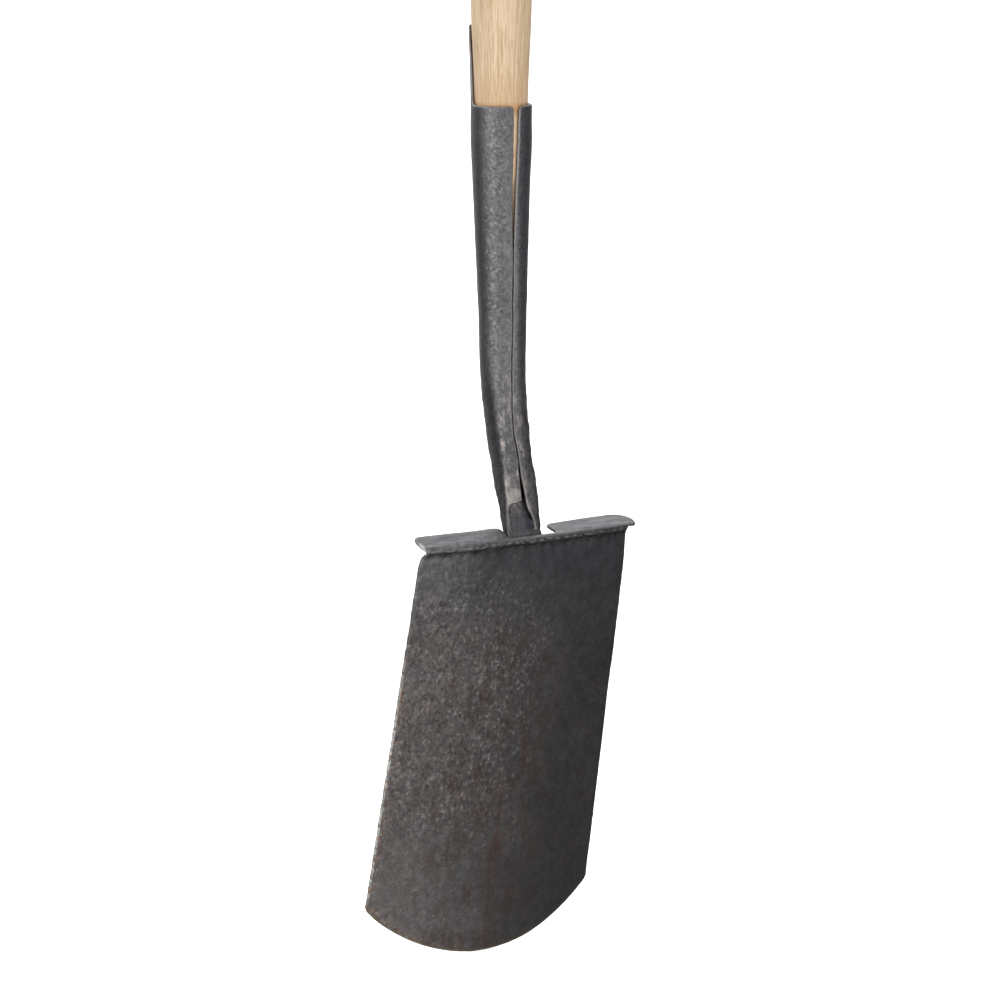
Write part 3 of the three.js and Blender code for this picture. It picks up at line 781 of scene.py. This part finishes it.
def barrel(name, extra, uneven=0):
    """The T-grip's barrel along X, `extra` larger all round."""
    half = GRIP_HALF + extra
    share = np.sin(np.linspace(-math.pi / 2, math.pi / 2, 90))
    radius = lerp(GRIP_RADIUS, GRIP_END_RADIUS, share**2)
    past = np.clip(1 - (1 - np.abs(share)) * half / GRIP_END_LENGTH, 0, 1)
    ends = (1 - past**2.6) ** 0.5
    profile = np.stack([share * half, radius * np.maximum(ends, 0.02) + extra], 1)
    rings = lathe_rings(profile, AXIS_X, AXIS_Y, GRIP_MIDDLE, 72, uneven, 41)
    return add_tube(name, rings)


def upright(name, radius, low, high):
    """An upright cylinder through the grip's middle, between two heights above it."""
    return add_tube(name, lathe_rings([(low, radius), (high, radius)], AXIS_Z, AXIS_X, GRIP_MIDDLE, 64))


def make_shaft():
    foot = SHAFT_LOW[2]
    heights = np.array([foot, foot + 1.2, foot + 2.8, *np.arange(foot + 4, GRIP_MIDDLE[2], 3.0)])
    profile = np.stack([heights, shaft_radius(heights)], 1)
    shaft = add_tube("ash_shaft", lathe_rings(profile, AXIS_Z, AXIS_X, np.zeros(3), 96, 0.12, 50))
    boolean(shaft, barrel("cope", 0.1), "DIFFERENCE")
    boolean(shaft, tenon_piece(), "UNION")
    boolean(shaft, wedge("kerf", 0.08), "DIFFERENCE")
    sharpen(shaft)
    return shaft


def tenon_piece():
    """The shaft's reduced end through the grip, sanded flush with the top of the barrel."""
    blank = upright("tenon", TENON_RADIUS, -40, GRIP_RADIUS + 5)
    return boolean(blank, keep_box(barrel("flush", -0.2)), "INTERSECT")


def keep_box(piece):
    """Joins a barrel with the space below it, so that an intersection trims only what stands above."""
    return boolean(piece, upright("below", 40, -60, -2), "UNION")


def wedge(name, extra):
    """The wedge across the tenon: thick at the top and thin below."""
    foot, top = WEDGE["foot"] - extra, GRIP_RADIUS - 0.1 + extra
    half = TENON_RADIUS - 0.25
    corners = []
    for z, thickness in ((foot, WEDGE["foot_thickness"]), (top, WEDGE["top_thickness"])):
        thick = thickness / 2 + extra
        corners += [(-thick, -half, z), (-thick, half, z), (thick, half, z), (thick, -half, z)]
    faces = [(0, 1, 2, 3), (4, 7, 6, 5), (0, 4, 5, 1), (1, 5, 6, 2), (2, 6, 7, 3), (3, 7, 4, 0)]
    return add_object(name, corners + GRIP_MIDDLE, faces, smooth=False)


def make_grip():
    """The T-grip with its bore for the tenon."""
    grip = barrel("t_grip_barrel", 0, 0.12)
    boolean(grip, upright("bore", TENON_RADIUS + 0.15, -40, 40), "DIFFERENCE")
    sharpen(grip)
    return grip


def sharpen(piece, angle=40):
    """Smooth shading, but for the edges that stay crisp."""
    piece.data.shade_smooth()
    piece.data.set_sharp_from_angle(angle=math.radians(angle))


def make_wedge():
    """The wedge, trimmed flush with the grip."""
    made = boolean(wedge("wedge_oak", 0), keep_box(barrel("flush_wedge", 0)), "INTERSECT")
    bevel = made.modifiers.new("bevel", "BEVEL")
    bevel.width, bevel.segments = 0.25 * MM, 3
    return made


def make_peg():
    low, high = box_mm("grip_peg")
    radius, reach, _ = (high - low) / 2
    profile = rounded_profile([(-reach, 0.05), (-reach, radius), (reach, radius), (reach, 0.05)], 0.8)
    return add_tube("grip_peg_oak", lathe_rings(profile, AXIS_Y, AXIS_Z, GRIP_MIDDLE, 32))


def make_nail(node):
    """A hand-forged nail along Y: a lumpy, domed round head on a tapered shank."""
    low, high = box_mm(node)
    centre = (low + high) / 2 * (1, 0, 1)
    head = (high - low)[0] / 2
    tip, top = low[1], high[1]
    seat = top - NAIL["head_depth"]
    corners = [
        (tip, 0.3),
        (tip + 6, NAIL["shank_radius"] - 0.2),
        (seat, NAIL["shank_radius"]),
        (seat, head - 0.1),
        (seat + 0.6, head),
        (seat + 1.7, head * 0.78),
        (top - 0.15, head * 0.4),
        (top, 0.1),
    ]
    profile = rounded_profile(corners, 0.7)
    rings = lathe_rings(profile, AXIS_Y, AXIS_X, centre, 40)
    flat = rings.reshape(-1, 3)
    lumps = NAIL["lumps"] * (roughness(flat, 2.6, 60 + int(centre[2]) % 7, 2) - 1)
    outward = unit(flat - (centre + AXIS_Y * (seat - 3)))
    moved = flat + outward * np.where(flat[:, 1] > seat + 0.2, lumps, 0)[:, None]
    return add_tube(node + "_forged", moved.reshape(rings.shape))


# ---- Node trees ----
class Nodes:
    """Shorthand for building a node tree.

    Values may be numbers, colours, sockets or spans: a tuple of a value and what span() takes after it.
    """

    def __init__(self, tree):
        self.tree = tree

    def feed(self, socket, value):
        if isinstance(value, tuple) and not isinstance(value[0], (int, float)):
            value = self.span(*value)
        if isinstance(value, bpy.types.NodeSocket):
            self.tree.links.new(value, socket)
        elif socket.type == "RGBA":
            socket.default_value = (*value, 1)
        else:
            socket.default_value = value

    def node(self, kind, inputs=(), **settings):
        made = self.tree.nodes.new("ShaderNode" + kind)
        for key, value in settings.items():
            setattr(made, key, value)
        for key, value in dict(inputs).items():
            self.feed(made.inputs[key], value)
        return made

    def span(self, value, low, high, to_low=0.0, to_high=1.0):
        """Takes the range low..high to to_low..to_high, smoothly and clamped."""
        inputs = {"Value": value, "From Min": low, "From Max": high, "To Min": to_low, "To Max": to_high}
        return self.node("MapRange", inputs, interpolation_type="SMOOTHSTEP").outputs[0]

    def maths(self, operation, a, b=0.0):
        return self.node("Math", {0: a, 1: b}, operation=operation).outputs[0]

    def times(self, *values):
        return reduce(lambda a, b: self.maths("MULTIPLY", a, b), values)

    def plus(self, *values):
        return reduce(lambda a, b: self.maths("ADD", a, b), values)


class Look(Nodes):
    """A material being painted: `color` is its colour so far."""

    def __init__(self, name):
        self.material = bpy.data.materials.new(name)
        self.material.use_nodes = True
        super().__init__(self.material.node_tree)
        self.here = self.place()

    def place(self, stretch=(1, 1, 1), turn=(0, 0, 0)):
        """The place on the piece in millimetres, turned and then shrunk by `stretch` along each axis."""
        where = self.node("TexCoord").outputs["Object"]
        turned = self.node("Mapping", {"Vector": where, "Rotation": turn}).outputs[0]
        scale = tuple(1 / (MM * size) for size in stretch)
        return self.node("Mapping", {"Vector": turned, "Scale": scale}).outputs[0]

    def head_axes(self):
        """X, Y and Z in the head's frame."""
        x, y, z = self.node("SeparateXYZ", {0: self.here}).outputs
        return x, y, self.plus(z, -HEAD_Z)

    def attribute(self, name):
        return self.node("Attribute", attribute_name=name).outputs["Fac"]

    def noise(self, size, detail, rough, seed=0.0, turn=(0, 0, 0), distortion=0.0):
        """Noise with features of one size in millimetres, or of a size along each axis."""
        even = isinstance(size, (int, float))
        where, scale = (self.here, 1 / size) if even else (self.place(size, turn), 1)
        inputs = {"Vector": where, "W": seed, "Scale": scale, "Detail": detail, "Roughness": rough}
        inputs["Distortion"] = distortion
        return self.node("TexNoise", inputs, noise_dimensions="4D").outputs[0]

    def spots(self, size, detail, rough, seed, low, high, *ends, **more):
        """Noise cut off softly between two of its values."""
        return self.span(self.noise(size, detail, rough, seed, **more), low, high, *ends)

    def sway(self, value, reach):
        """Noise taken to a push of half of `reach` either way."""
        return self.times(self.plus(value, -0.5), reach)

    def blend(self, factor, a, b, mode="MIX"):
        """Mixes two colours; 0, 6 and 7 are the Mix node's factor and colours, and 2 is its colour output."""
        inputs = {0: factor, 6: a, 7: b}
        return self.node("Mix", inputs, data_type="RGBA", blend_type=mode).outputs[2]

    def paint(self, color, *masks, mode="MIX"):
        """Lays a colour over the look where all of the masks are."""
        self.color = self.blend(self.times(*masks), self.color, color, mode)

    def finish(self, rough, height, bump, distance, metallic=0.0):
        """Connects the look to the shader, with a bump of a strength and a distance in millimetres."""
        shader = self.tree.nodes["Principled BSDF"].inputs
        self.feed(shader["Base Color"], self.color)
        self.feed(shader["Roughness"], rough)
        inputs = {"Height": height, "Strength": bump, "Distance": distance * MM}
        self.feed(shader["Normal"], self.node("Bump", inputs).outputs[0])
        shader["Metallic"].default_value = metallic
        return self.material


# ---- Steel ----
def mottled_scale(g, dark, light, speck):
    """Fire scale: softly mottled oxide with fine specks. Returns its colour and the mottle."""
    mottle = g.noise(3.6, 6, 0.72, 1)
    oxide = g.blend((mottle, 0.2, 0.82), dark, light)
    oxide = g.blend(g.spots(34, 4, 0.5, 0, 0.3, 0.75, 0, 0.4), oxide, tuple(0.7 * c for c in dark))
    specks = g.times(g.spots(1.2, 2, 0.6, 3, 0.58, 0.76), g.spots(18, 4, 0.6, 4, 0.36, 0.64), speck)
    return g.blend(specks, oxide, (0.3, 0.29, 0.28)), mottle


def blade_steel_look():
    """The blade's back: painted light and shade, its scale lit grey on the left and near black on the right;
    pitted left, browned in the middle.
    """
    g = Look("blade_steel")
    g.x, g.down, g.edge = (g.attribute(name) for name in ("across", "down", "edge"))
    g.wander = g.sway(g.noise(30, 4, 0.6, 11), 60)
    g.ragged_down = g.plus(g.down, g.wander)
    g.left = (g.plus(g.x, g.wander), 48, -66)
    g.blotch = g.spots((6, 6, 9), 6, 0.76, 24, 0.36, 0.64)
    g.grit = g.noise((2.1, 2.1, 2.94), 5, 0.74, 12 / 2.1)
    # the near black scale all over: a painted-shade copy, left showing on the right
    g.color, g.mottle = mottled_scale(g, (0.034, 0.033, 0.035), (0.062, 0.059, 0.062), 0.15)
    paint_blade_scale_and_light(g)
    eaten = paint_pits_and_glints(g)
    browned = paint_browning(g)
    paint_scratches(g)
    paint_fold(g)
    paint_blade_edges(g)
    rough = g.plus((g.mottle, 0.3, 0.7, 0.56, 0.44), g.times(browned, 0.2))
    height = g.plus(g.times(g.mottle, 0.8), g.times(g.grit, g.plus(0.2, g.times(eaten, 1.5))))
    return g.finish(rough, height, 0.9, 0.25, 0.85)


def paint_blade_scale_and_light(g):
    """Painted light: a greyer, lit copy of the scale on the left. Blotches above the bottom, and darker scale
    under the fold.
    """
    # painted light: the lit grey copy of the scale, laid on the left where the light falls
    grey, _ = mottled_scale(g, (0.084, 0.081, 0.083), (0.165, 0.16, 0.161), 0.4)
    g.paint(grey, g.left)
    blotches = g.blend(g.blotch, (0.7, 0.69, 0.69), (1.28, 1.29, 1.3))
    g.paint(blotches, (g.ragged_down, 240, 150, 0.3, 0.6), mode="MULTIPLY")
    # darker scale under the fold, right of the far left
    under = (g.plus(g.down, g.times(g.wander, 0.4)), 74, 10)
    darker_under_fold = g.blend(g.blotch, (0.034, 0.034, 0.038), (0.052, 0.052, 0.057))
    g.paint(darker_under_fold, under, (g.x, -60, -24), 0.8)


def paint_pits_and_glints(g):
    """Pale flakes, partly rust flaking and partly painted glints where the light falls, and dark pits, most
    on the left. Returns how much rust has eaten each place.
    """
    below_fold = (g.plus(g.ragged_down, g.times(g.x, -0.25)), 4, 70)
    above_end = (g.ragged_down, 238, 165)
    left = (g.plus(g.x, g.times(g.wander, 0.8)), 40, -22)
    eaten = g.times(below_fold, above_end, left, (g.blotch, 0, 0.7, 0.45, 1))
    # pale flakes: partly real flaking, partly painted glints on the lit left
    flake_and_glint = g.blend(g.spots(7, 4, 0.6, 20, 0.45, 0.62), (0.33, 0.325, 0.325), (0.27, 0.215, 0.17))
    g.paint(flake_and_glint, (g.grit, 0.53, 0.62), eaten, 0.72)
    g.paint((0.018, 0.016, 0.016), (g.grit, 0.47, 0.38), eaten, 0.75)
    return eaten


def paint_browning(g):
    """Rust spots, a thin brown veil and a rusty run down the middle. Returns how brown each place is."""
    rust = g.times(g.spots(2.6, 5, 0.7, 5, 0.53, 0.66), g.spots(26, 3, 0.5, 6, 0.42, 0.6))
    rust = g.times(rust, (g.down, 30, 80))
    g.paint((0.11, 0.056, 0.036), rust, 0.75)
    middle = g.times((g.x, -78, -30), (g.x, 55, 12))
    veil = g.times(g.spots((8, 8, 40), 5, 0.65, 14, 0.42, 0.7), middle, (g.down, 40, 90))
    g.paint((0.07, 0.046, 0.037), veil, 0.55)
    g.paint((1.0, 0.9, 0.85), (g.down, 10, 60), (g.x, 45, 0), 0.35, mode="MULTIPLY")
    drift = g.sway(g.noise((9, 9, 60), 3, 0.6, 15), 16)
    run = (g.maths("ABSOLUTE", g.plus(g.x, drift, -3.0)), 6, 0.5)
    g.paint((0.062, 0.032, 0.022), run, (g.down, 130, 190), (g.grit, 0.4, 0.6), 0.5)
    return g.plus(rust, veil)


def paint_scratches(g):
    """Fine scratches and chips on the smooth end of the blade."""
    smooth = (g.ragged_down, 185, 235)
    scratches = g.spots((0.5, 0.5, 6), 3, 0.7, 16, 0.6, 0.7, turn=(0.5, 0.3, 0.9))
    g.paint((0.26, 0.25, 0.245), scratches, smooth, g.left, 0.6)
    g.paint((0.32, 0.305, 0.29), g.spots(1.7, 3, 0.7, 28, 0.61, 0.67), smooth, (g.x, 20, -30), 0.5)


def paint_fold(g):
    """The treads' streaked plate, the lip's patches, partly bare and partly painted highlight, and a painted
    shadow below the lip.
    """
    streaks = g.spots((16, 2.6, 2.6), 5, 0.7, 25, 0.36, 0.64)
    plate = g.blend(streaks, (0.115, 0.109, 0.118), (0.215, 0.21, 0.22))
    g.paint(plate, (g.down, 0.5, -1.5), 0.9)
    patchy = g.times(g.spots((3, 1.6, 1.6), 5, 0.74, 19, 0.44, 0.64), (g.x, 60, -10, 0.45, 1))
    # the lip's light patches: partly bare steel, partly a painted highlight along the fold
    g.paint((0.34, 0.325, 0.31), (g.down, -0.6, 0.8), (g.down, 3.4, 1.6), patchy, 0.6)
    # painted shadow under the lip
    broken = g.spots((5, 3, 3), 4, 0.6, 26, 0.34, 0.6, 0.25, 1)
    g.paint((0.014, 0.014, 0.016), (g.down, 2.4, 3.8), (g.down, 8.2, 4.4), broken, 0.8)


def paint_blade_edges(g):
    """Rubbed rims on the left, partly wear and partly painted highlight, flecks on the left, a painted
    highlight on the tread's corner, and brown right and cutting edges.
    """
    left = (g.x, 10, -50)
    rubbed = g.spots(4, 4, 0.65, 27, 0.42, 0.6, 0.25, 1)
    # light rims: partly rubbed steel, partly a painted highlight, strongest on the lit left
    rim_highlight = g.plus(0.1, g.times(left, (g.down, 55, 130), 0.8))
    g.paint((0.72, 0.7, 0.67), (g.plus(g.edge, g.sway(g.mottle, 2)), 1.9, 0.3), rubbed, rim_highlight)
    # painted highlight on the tread's near left corner
    g.paint((0.55, 0.53, 0.51), (g.x, -70, -73), (g.down, -9, -3), (g.down, 4, 1), 0.8)
    near_edge = g.times((g.plus(g.edge, g.times(g.mottle, 5)), 11, 3), left)
    g.paint((0.4, 0.385, 0.36), g.spots(2.2, 4, 0.7, 29, 0.55, 0.62), near_edge, (g.down, 40, 90), 0.6)
    g.paint((0.26, 0.13, 0.07), g.spots(3, 4, 0.7, 18, 0.52, 0.6), near_edge, (g.down, 60, 110), 0.7)
    g.paint((0.1, 0.06, 0.05), (g.edge, 1.6, 0.4), (g.x, 40, 70), (g.down, 4, 12), 0.7)
    g.paint((0.1, 0.075, 0.045), (g.edge, 3, 1), (g.down, 235, 255), 0.7)


def socket_steel_look():
    """The socket: specked dark scale, painted shade on its flanks, a patchily rubbed neck, scratches and worn
    rims.
    """
    g = Look("socket_steel")
    g.color, g.mottle = mottled_scale(g, (0.085, 0.083, 0.089), (0.165, 0.162, 0.169), 0.6)
    g.grain = g.noise(2.0, 4, 0.65, 2)
    g.x, g.y, g.z = g.head_axes()
    paint_socket_scale_and_shade(g)
    paint_neck(g)
    scratches = g.spots((0.45, 0.45, 5), 3, 0.7, 16, 0.6, 0.7, turn=(0.6, 0.4, 0))
    g.paint((0.3, 0.29, 0.285), scratches, 0.5)
    rust = g.times(g.spots(2.8, 4, 0.7, 5, 0.58, 0.68), g.spots(24, 3, 0.5, 6, 0.44, 0.62))
    g.paint((0.12, 0.055, 0.035), rust, 0.65)
    ragged = g.plus(g.attribute("edge"), g.sway(g.mottle, 2.4))
    g.paint((0.34, 0.32, 0.31), (ragged, 1.6, 0.2, 0, 0.5))
    rough = g.plus((g.mottle, 0.3, 0.7, 0.44, 0.32), g.times(rust, 0.2))
    return g.finish(rough, g.plus(g.mottle, g.times(g.grain, 0.8)), 0.8, 0.2, 0.85)


def paint_socket_scale_and_shade(g):
    """Light and dark grain, lightest along the left of the back, partly wear and partly painted highlight,
    and painted shade on the flanks.
    """
    # lighter grain on the left of the back: partly wear, partly a painted highlight
    worn = g.times((g.plus(g.x, g.times(g.mottle, 4)), -4, -8), (g.y, -5.5, -9))
    g.paint((0.31, 0.303, 0.3), (g.grain, 0.52, 0.68), g.plus(0.3, g.times(worn, 0.4)))
    g.paint((0.04, 0.039, 0.041), (g.grain, 0.48, 0.34, 0, 0.6))
    ragged = g.times(g.mottle, 3)
    # painted shade on the flanks, which turn away from the light
    low_flank = (g.plus(g.x, ragged), -8, -11)
    high_flank = (g.plus(g.y, ragged), -5.5, -1)
    g.paint((0.034, 0.031, 0.031), low_flank, (g.z, 120, 80), 0.85)
    g.paint((0.055, 0.053, 0.058), high_flank, (g.z, 80, 120), 0.75)


def paint_neck(g):
    """Painted shade in the neck's hollow, its rubbed left side and end, and painted shade on the flap right
    of the seam.
    """
    x, y, z = g.x, g.y, g.z
    # painted shade in the hollow behind the left flap
    hollow = g.times((y, -29.2, -28.4), (y, -23, -25), (z, 16, 12))
    g.paint((0.045, 0.046, 0.055), hollow, (z, 4, 8), 0.6)
    # painted shade on the flap right of the seam
    g.paint((0.72, 0.73, 0.77), (x, 1.5, 3.5), (z, 70, 110), (y, -3, -8), mode="MULTIPLY")
    bare = g.blend((g.mottle, 0.3, 0.7), (0.3, 0.27, 0.245), (0.44, 0.4, 0.365))
    back = g.times((x, -11.6, -10.4), (x, 5, 2, 0.3, 1))
    low_end = g.times((z, 44, 26), (z, 18, 21), (x, 4, -3))
    g.paint(bare, low_end, back, g.spots(7, 4, 0.6, 21, 0.36, 0.56), 0.6)
    foot = g.times((z, 17, 13), (z, -10, -4), (y, -23, -25))
    g.paint((0.09, 0.086, 0.092), foot, 0.7)
    # more painted shade in the hollow, towards its right
    shaded = (g.plus(x, g.times(g.mottle, 3)), 1.5, 4.5)
    g.paint((0.036, 0.039, 0.052), hollow, shaded, (z, 2, 7), 0.85)
    dents = g.spots((3, 3, 9), 4, 0.6, 22, 0.5, 0.66)
    g.paint(bare, dents, back, (z, 125, 55), (z, 13, 20), 0.65)
    grime = g.spots((4, 4, 8), 4, 0.6, 23, 0.55, 0.66)
    g.paint((0.045, 0.038, 0.035), grime, (z, 120, 50), 0.75)
    # more painted shade further round the flap right of the seam
    behind = (g.plus(y, g.times(z, -0.26), 26.8), -2, -4)
    g.paint((0.6, 0.57, 0.57), (x, 2, 4), behind, (z, 110, 70), 0.75, mode="MULTIPLY")


def rusty_iron_look(name, grain, dark, light, rust, rust_size, rust_from, rust_most, bump):
    """Plain mottled iron with rust spots."""
    g = Look(name)
    mottle = g.noise(grain, 5, 0.6)
    g.color = g.blend((mottle, 0.3, 0.7), dark, light)
    g.paint(rust, g.spots(rust_size, 3, 0.5, 3, rust_from, 0.7, 0, rust_most))
    return g.finish((mottle, 0.3, 0.7, 0.6, 0.42), mottle, bump, 0.2, 0.6)


WELD_METAL = dict(
    grain=2.2, dark=(0.06, 0.052, 0.048), light=(0.16, 0.15, 0.14), rust=(0.12, 0.055, 0.03),
    rust_size=6, rust_from=0.55, rust_most=0.6, bump=0.6,
)
NAIL_IRON = dict(
    grain=1.4, dark=(0.05, 0.045, 0.042), light=(0.13, 0.12, 0.115), rust=(0.14, 0.06, 0.03),
    rust_size=2.5, rust_from=0.5, rust_most=0.7, bump=0.7,
)


# ---- Wood ----
def ash_look(name, light, dark, axis, mouth=None):
    """Ash with straight grain along an axis: 0 is X and 2 is Z. `mouth` is the height of the socket's."""
    g = Look(name)

    def stretched(across, along):
        return tuple(along if i == axis else across for i in range(3))

    ripple = g.noise(stretched(3.4, 260), 3, 0.55, 1, distortion=0.6)
    rings = (g.maths("SINE", g.times(ripple, 42)), -1, 1)
    fibre = g.noise(stretched(1, 42), 5, 0.65, 2)
    cloud = g.noise(40, 3, 0.5, 4)
    tone = g.plus(g.times(rings, 0.24), g.times((fibre, 0.3, 0.7), 0.46), g.times(cloud, 0.3))
    g.color = g.blend((tone, 0.2, 0.85), light, dark)
    pores = g.spots(stretched(0.42, 9), 2, 0.5, 3, 0.6, 0.72)
    g.paint(tuple(0.55 * c for c in dark), pores, 0.55)
    if mouth is not None:
        paint_dirt_and_seam_light(g, fibre, mouth)
    height = g.plus(g.times(fibre, 0.7), g.times(pores, -0.6))
    return g.finish((fibre, 0.3, 0.7, 0.5, 0.62), height, 0.5, 0.1)


def paint_dirt_and_seam_light(g, fibre, mouth):
    """Smudges above the socket's mouth, a rubbed line at it and lighter wood inside the seam, partly
    unweathered wood and partly painted light against the seam's shade.
    """
    z = g.head_axes()[2]
    smudge = g.times((g.plus(z, g.times(fibre, -24)), mouth + 20, mouth - 14), 0.3)
    rubbed = g.times((z, mouth + 3, mouth), (z, mouth - 6, mouth - 1, 0.4, 1), 0.55)
    g.paint((0.56, 0.31, 0.15), g.plus(smudge, rubbed))
    # lighter wood in the seam: partly unweathered wood, partly painted light
    g.paint((0.96, 0.7, 0.47), (z, mouth - 3, mouth - 9, 0, 0.8))


# ---- The spade's pieces ----
def dress(piece, slot, material, *nodes):
    """Rides a piece on the spade, hides the CAD nodes that it stands for and gives it its material."""
    piece.data.materials.clear()
    piece.data.materials.append(material)
    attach(piece, "root")
    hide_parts(*nodes)


def make_spade():
    dress(make_blade(), "blade_steel", blade_steel_look(), "blade")
    dress(make_socket(), "socket_steel", socket_steel_look(), "socket")
    weld = rusty_iron_look("weld_metal", **WELD_METAL)
    for node, side in (("tang_weld_left", -1), ("tang_weld_right", 1)):
        dress(make_weld(node, side), "weld_metal", weld, node)
    iron = rusty_iron_look("nail_iron", **NAIL_IRON)
    for node in ("strap_nail", "socket_nail"):
        dress(make_nail(node), "nail_iron", iron, node)
    shaft_ash = ash_look("shaft_ash", (0.72, 0.55, 0.37), (0.5, 0.34, 0.19), 2, MOUTH_Z)
    dress(make_shaft(), "shaft_ash", shaft_ash, "shaft")
    grip_ash = ash_look("grip_ash", (0.6, 0.42, 0.25), (0.38, 0.23, 0.12), 0)
    dress(make_grip(), "grip_ash", grip_ash, "t_grip")
    wedge_wood = ash_look("wedge_wood", (0.34, 0.2, 0.1), (0.2, 0.11, 0.05), 2)
    dress(make_wedge(), "wedge_wood", wedge_wood, "grip_wedge")
    dress(make_peg(), "wedge_wood", wedge_wood, "grip_peg")


# ---- Camera, floor and lights ----
CAMERA = dict(azimuth=-30, elevation=10.51, distance=3.005, lens=172.8, height=19.3, left=0.81)


def direction(azimuth, elevation):
    """The unit vector from the object towards a viewer; azimuth 0 looks along +Y."""
    a, e = math.radians(azimuth), math.radians(elevation)
    return Vector((math.sin(a) * math.cos(e), -math.cos(a) * math.cos(e), math.sin(e)))


def make_camera():
    """The camera, aimed a little above the fold."""
    back = direction(CAMERA["azimuth"], CAMERA["elevation"])
    turn = math.radians(CAMERA["azimuth"])
    right = Vector((math.cos(turn), math.sin(turn), 0))
    up = back.cross(right)
    target = Vector(to_frame([0, 0, CAMERA["height"]])) - right * CAMERA["left"] * MM
    data = bpy.data.cameras.new("camera")
    data.lens = CAMERA["lens"]
    data.sensor_width = 36
    data.clip_end = 60
    camera = bpy.data.objects.new("camera", data)
    axes = Matrix((right, up, back)).transposed().to_4x4()
    camera.matrix_world = Matrix.Translation(target + back * CAMERA["distance"]) @ axes
    bpy.context.scene.collection.objects.link(camera)
    bpy.context.scene.camera = camera


FLOOR_GLOW = 0.55  # the floor is backlit, so that only a faint shadow is left on it


def make_floor():
    """A plain pale floor under the blade's tip."""
    low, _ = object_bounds()
    half = 30
    mesh = bpy.data.meshes.new("floor")
    corners = [(-half, -half, 0), (half, -half, 0), (half, half, 0), (-half, half, 0)]
    mesh.from_pydata(corners, [], [(0, 1, 2, 3)])
    floor = bpy.data.objects.new("floor", mesh)
    floor.location.z = low.z
    floor.visible_diffuse = False
    floor.visible_glossy = False
    paint = bpy.data.materials.new("floor_paint")
    paint.use_nodes = True
    inputs = paint.node_tree.nodes["Principled BSDF"].inputs
    inputs["Base Color"].default_value = (0.93, 0.93, 0.93, 1)
    inputs["Roughness"].default_value = 0.9
    inputs["Emission Color"].default_value = (1, 1, 1, 1)
    inputs["Emission Strength"].default_value = FLOOR_GLOW
    mesh.materials.append(paint)
    bpy.context.scene.collection.objects.link(floor)


# The studio's soft lights, as glowing patches of the world: azimuth, elevation, narrowness and brightness.
SOFT_LIGHTS = (
    (-6, -16, 4, 1.65),  # a broad one in front of the back
    (-72, 5, 14, 3.3),  # from the left
    (-135, 0, 10, 0.2),
    (45, 0, 8, 0.35),  # a weak one from the right
    (175, 35, 4, 1.9),  # behind, for the treads and the digging face
)
FILL_LIGHT = 0.2
CEILING_LIGHT = 0.9


def make_world():
    """A white studio: soft lights, a bright ceiling, and plain white where the camera sees it."""
    world = bpy.data.worlds.new("studio")
    world.use_nodes = True
    bpy.context.scene.world = world
    g = Nodes(world.node_tree)
    where = g.node("TexCoord").outputs["Generated"]
    total = FILL_LIGHT
    for azimuth, elevation, narrowness, brightness in SOFT_LIGHTS:
        inputs = {0: where, 1: direction(azimuth, elevation)}
        towards = g.node("VectorMath", inputs, operation="DOT_PRODUCT").outputs["Value"]
        glow = g.maths("EXPONENT", g.times(g.plus(towards, -1), narrowness))
        total = g.plus(g.times(glow, brightness), total)
    height = g.node("SeparateXYZ", {0: where}).outputs[2]
    total = g.plus(total, (height, 0.5, 0.85, 0, CEILING_LIGHT))
    seen = g.maths("MAXIMUM", total, g.node("LightPath").outputs["Is Camera Ray"])
    background = g.tree.nodes["Background"].inputs
    g.feed(background["Strength"], seen)
    g.feed(background["Color"], (1, 1, 1))


def make_stage():
    make_floor()
    make_world()
    bpy.context.scene.view_settings.view_transform = "Standard"


make_camera()
make_spade()
make_stage()
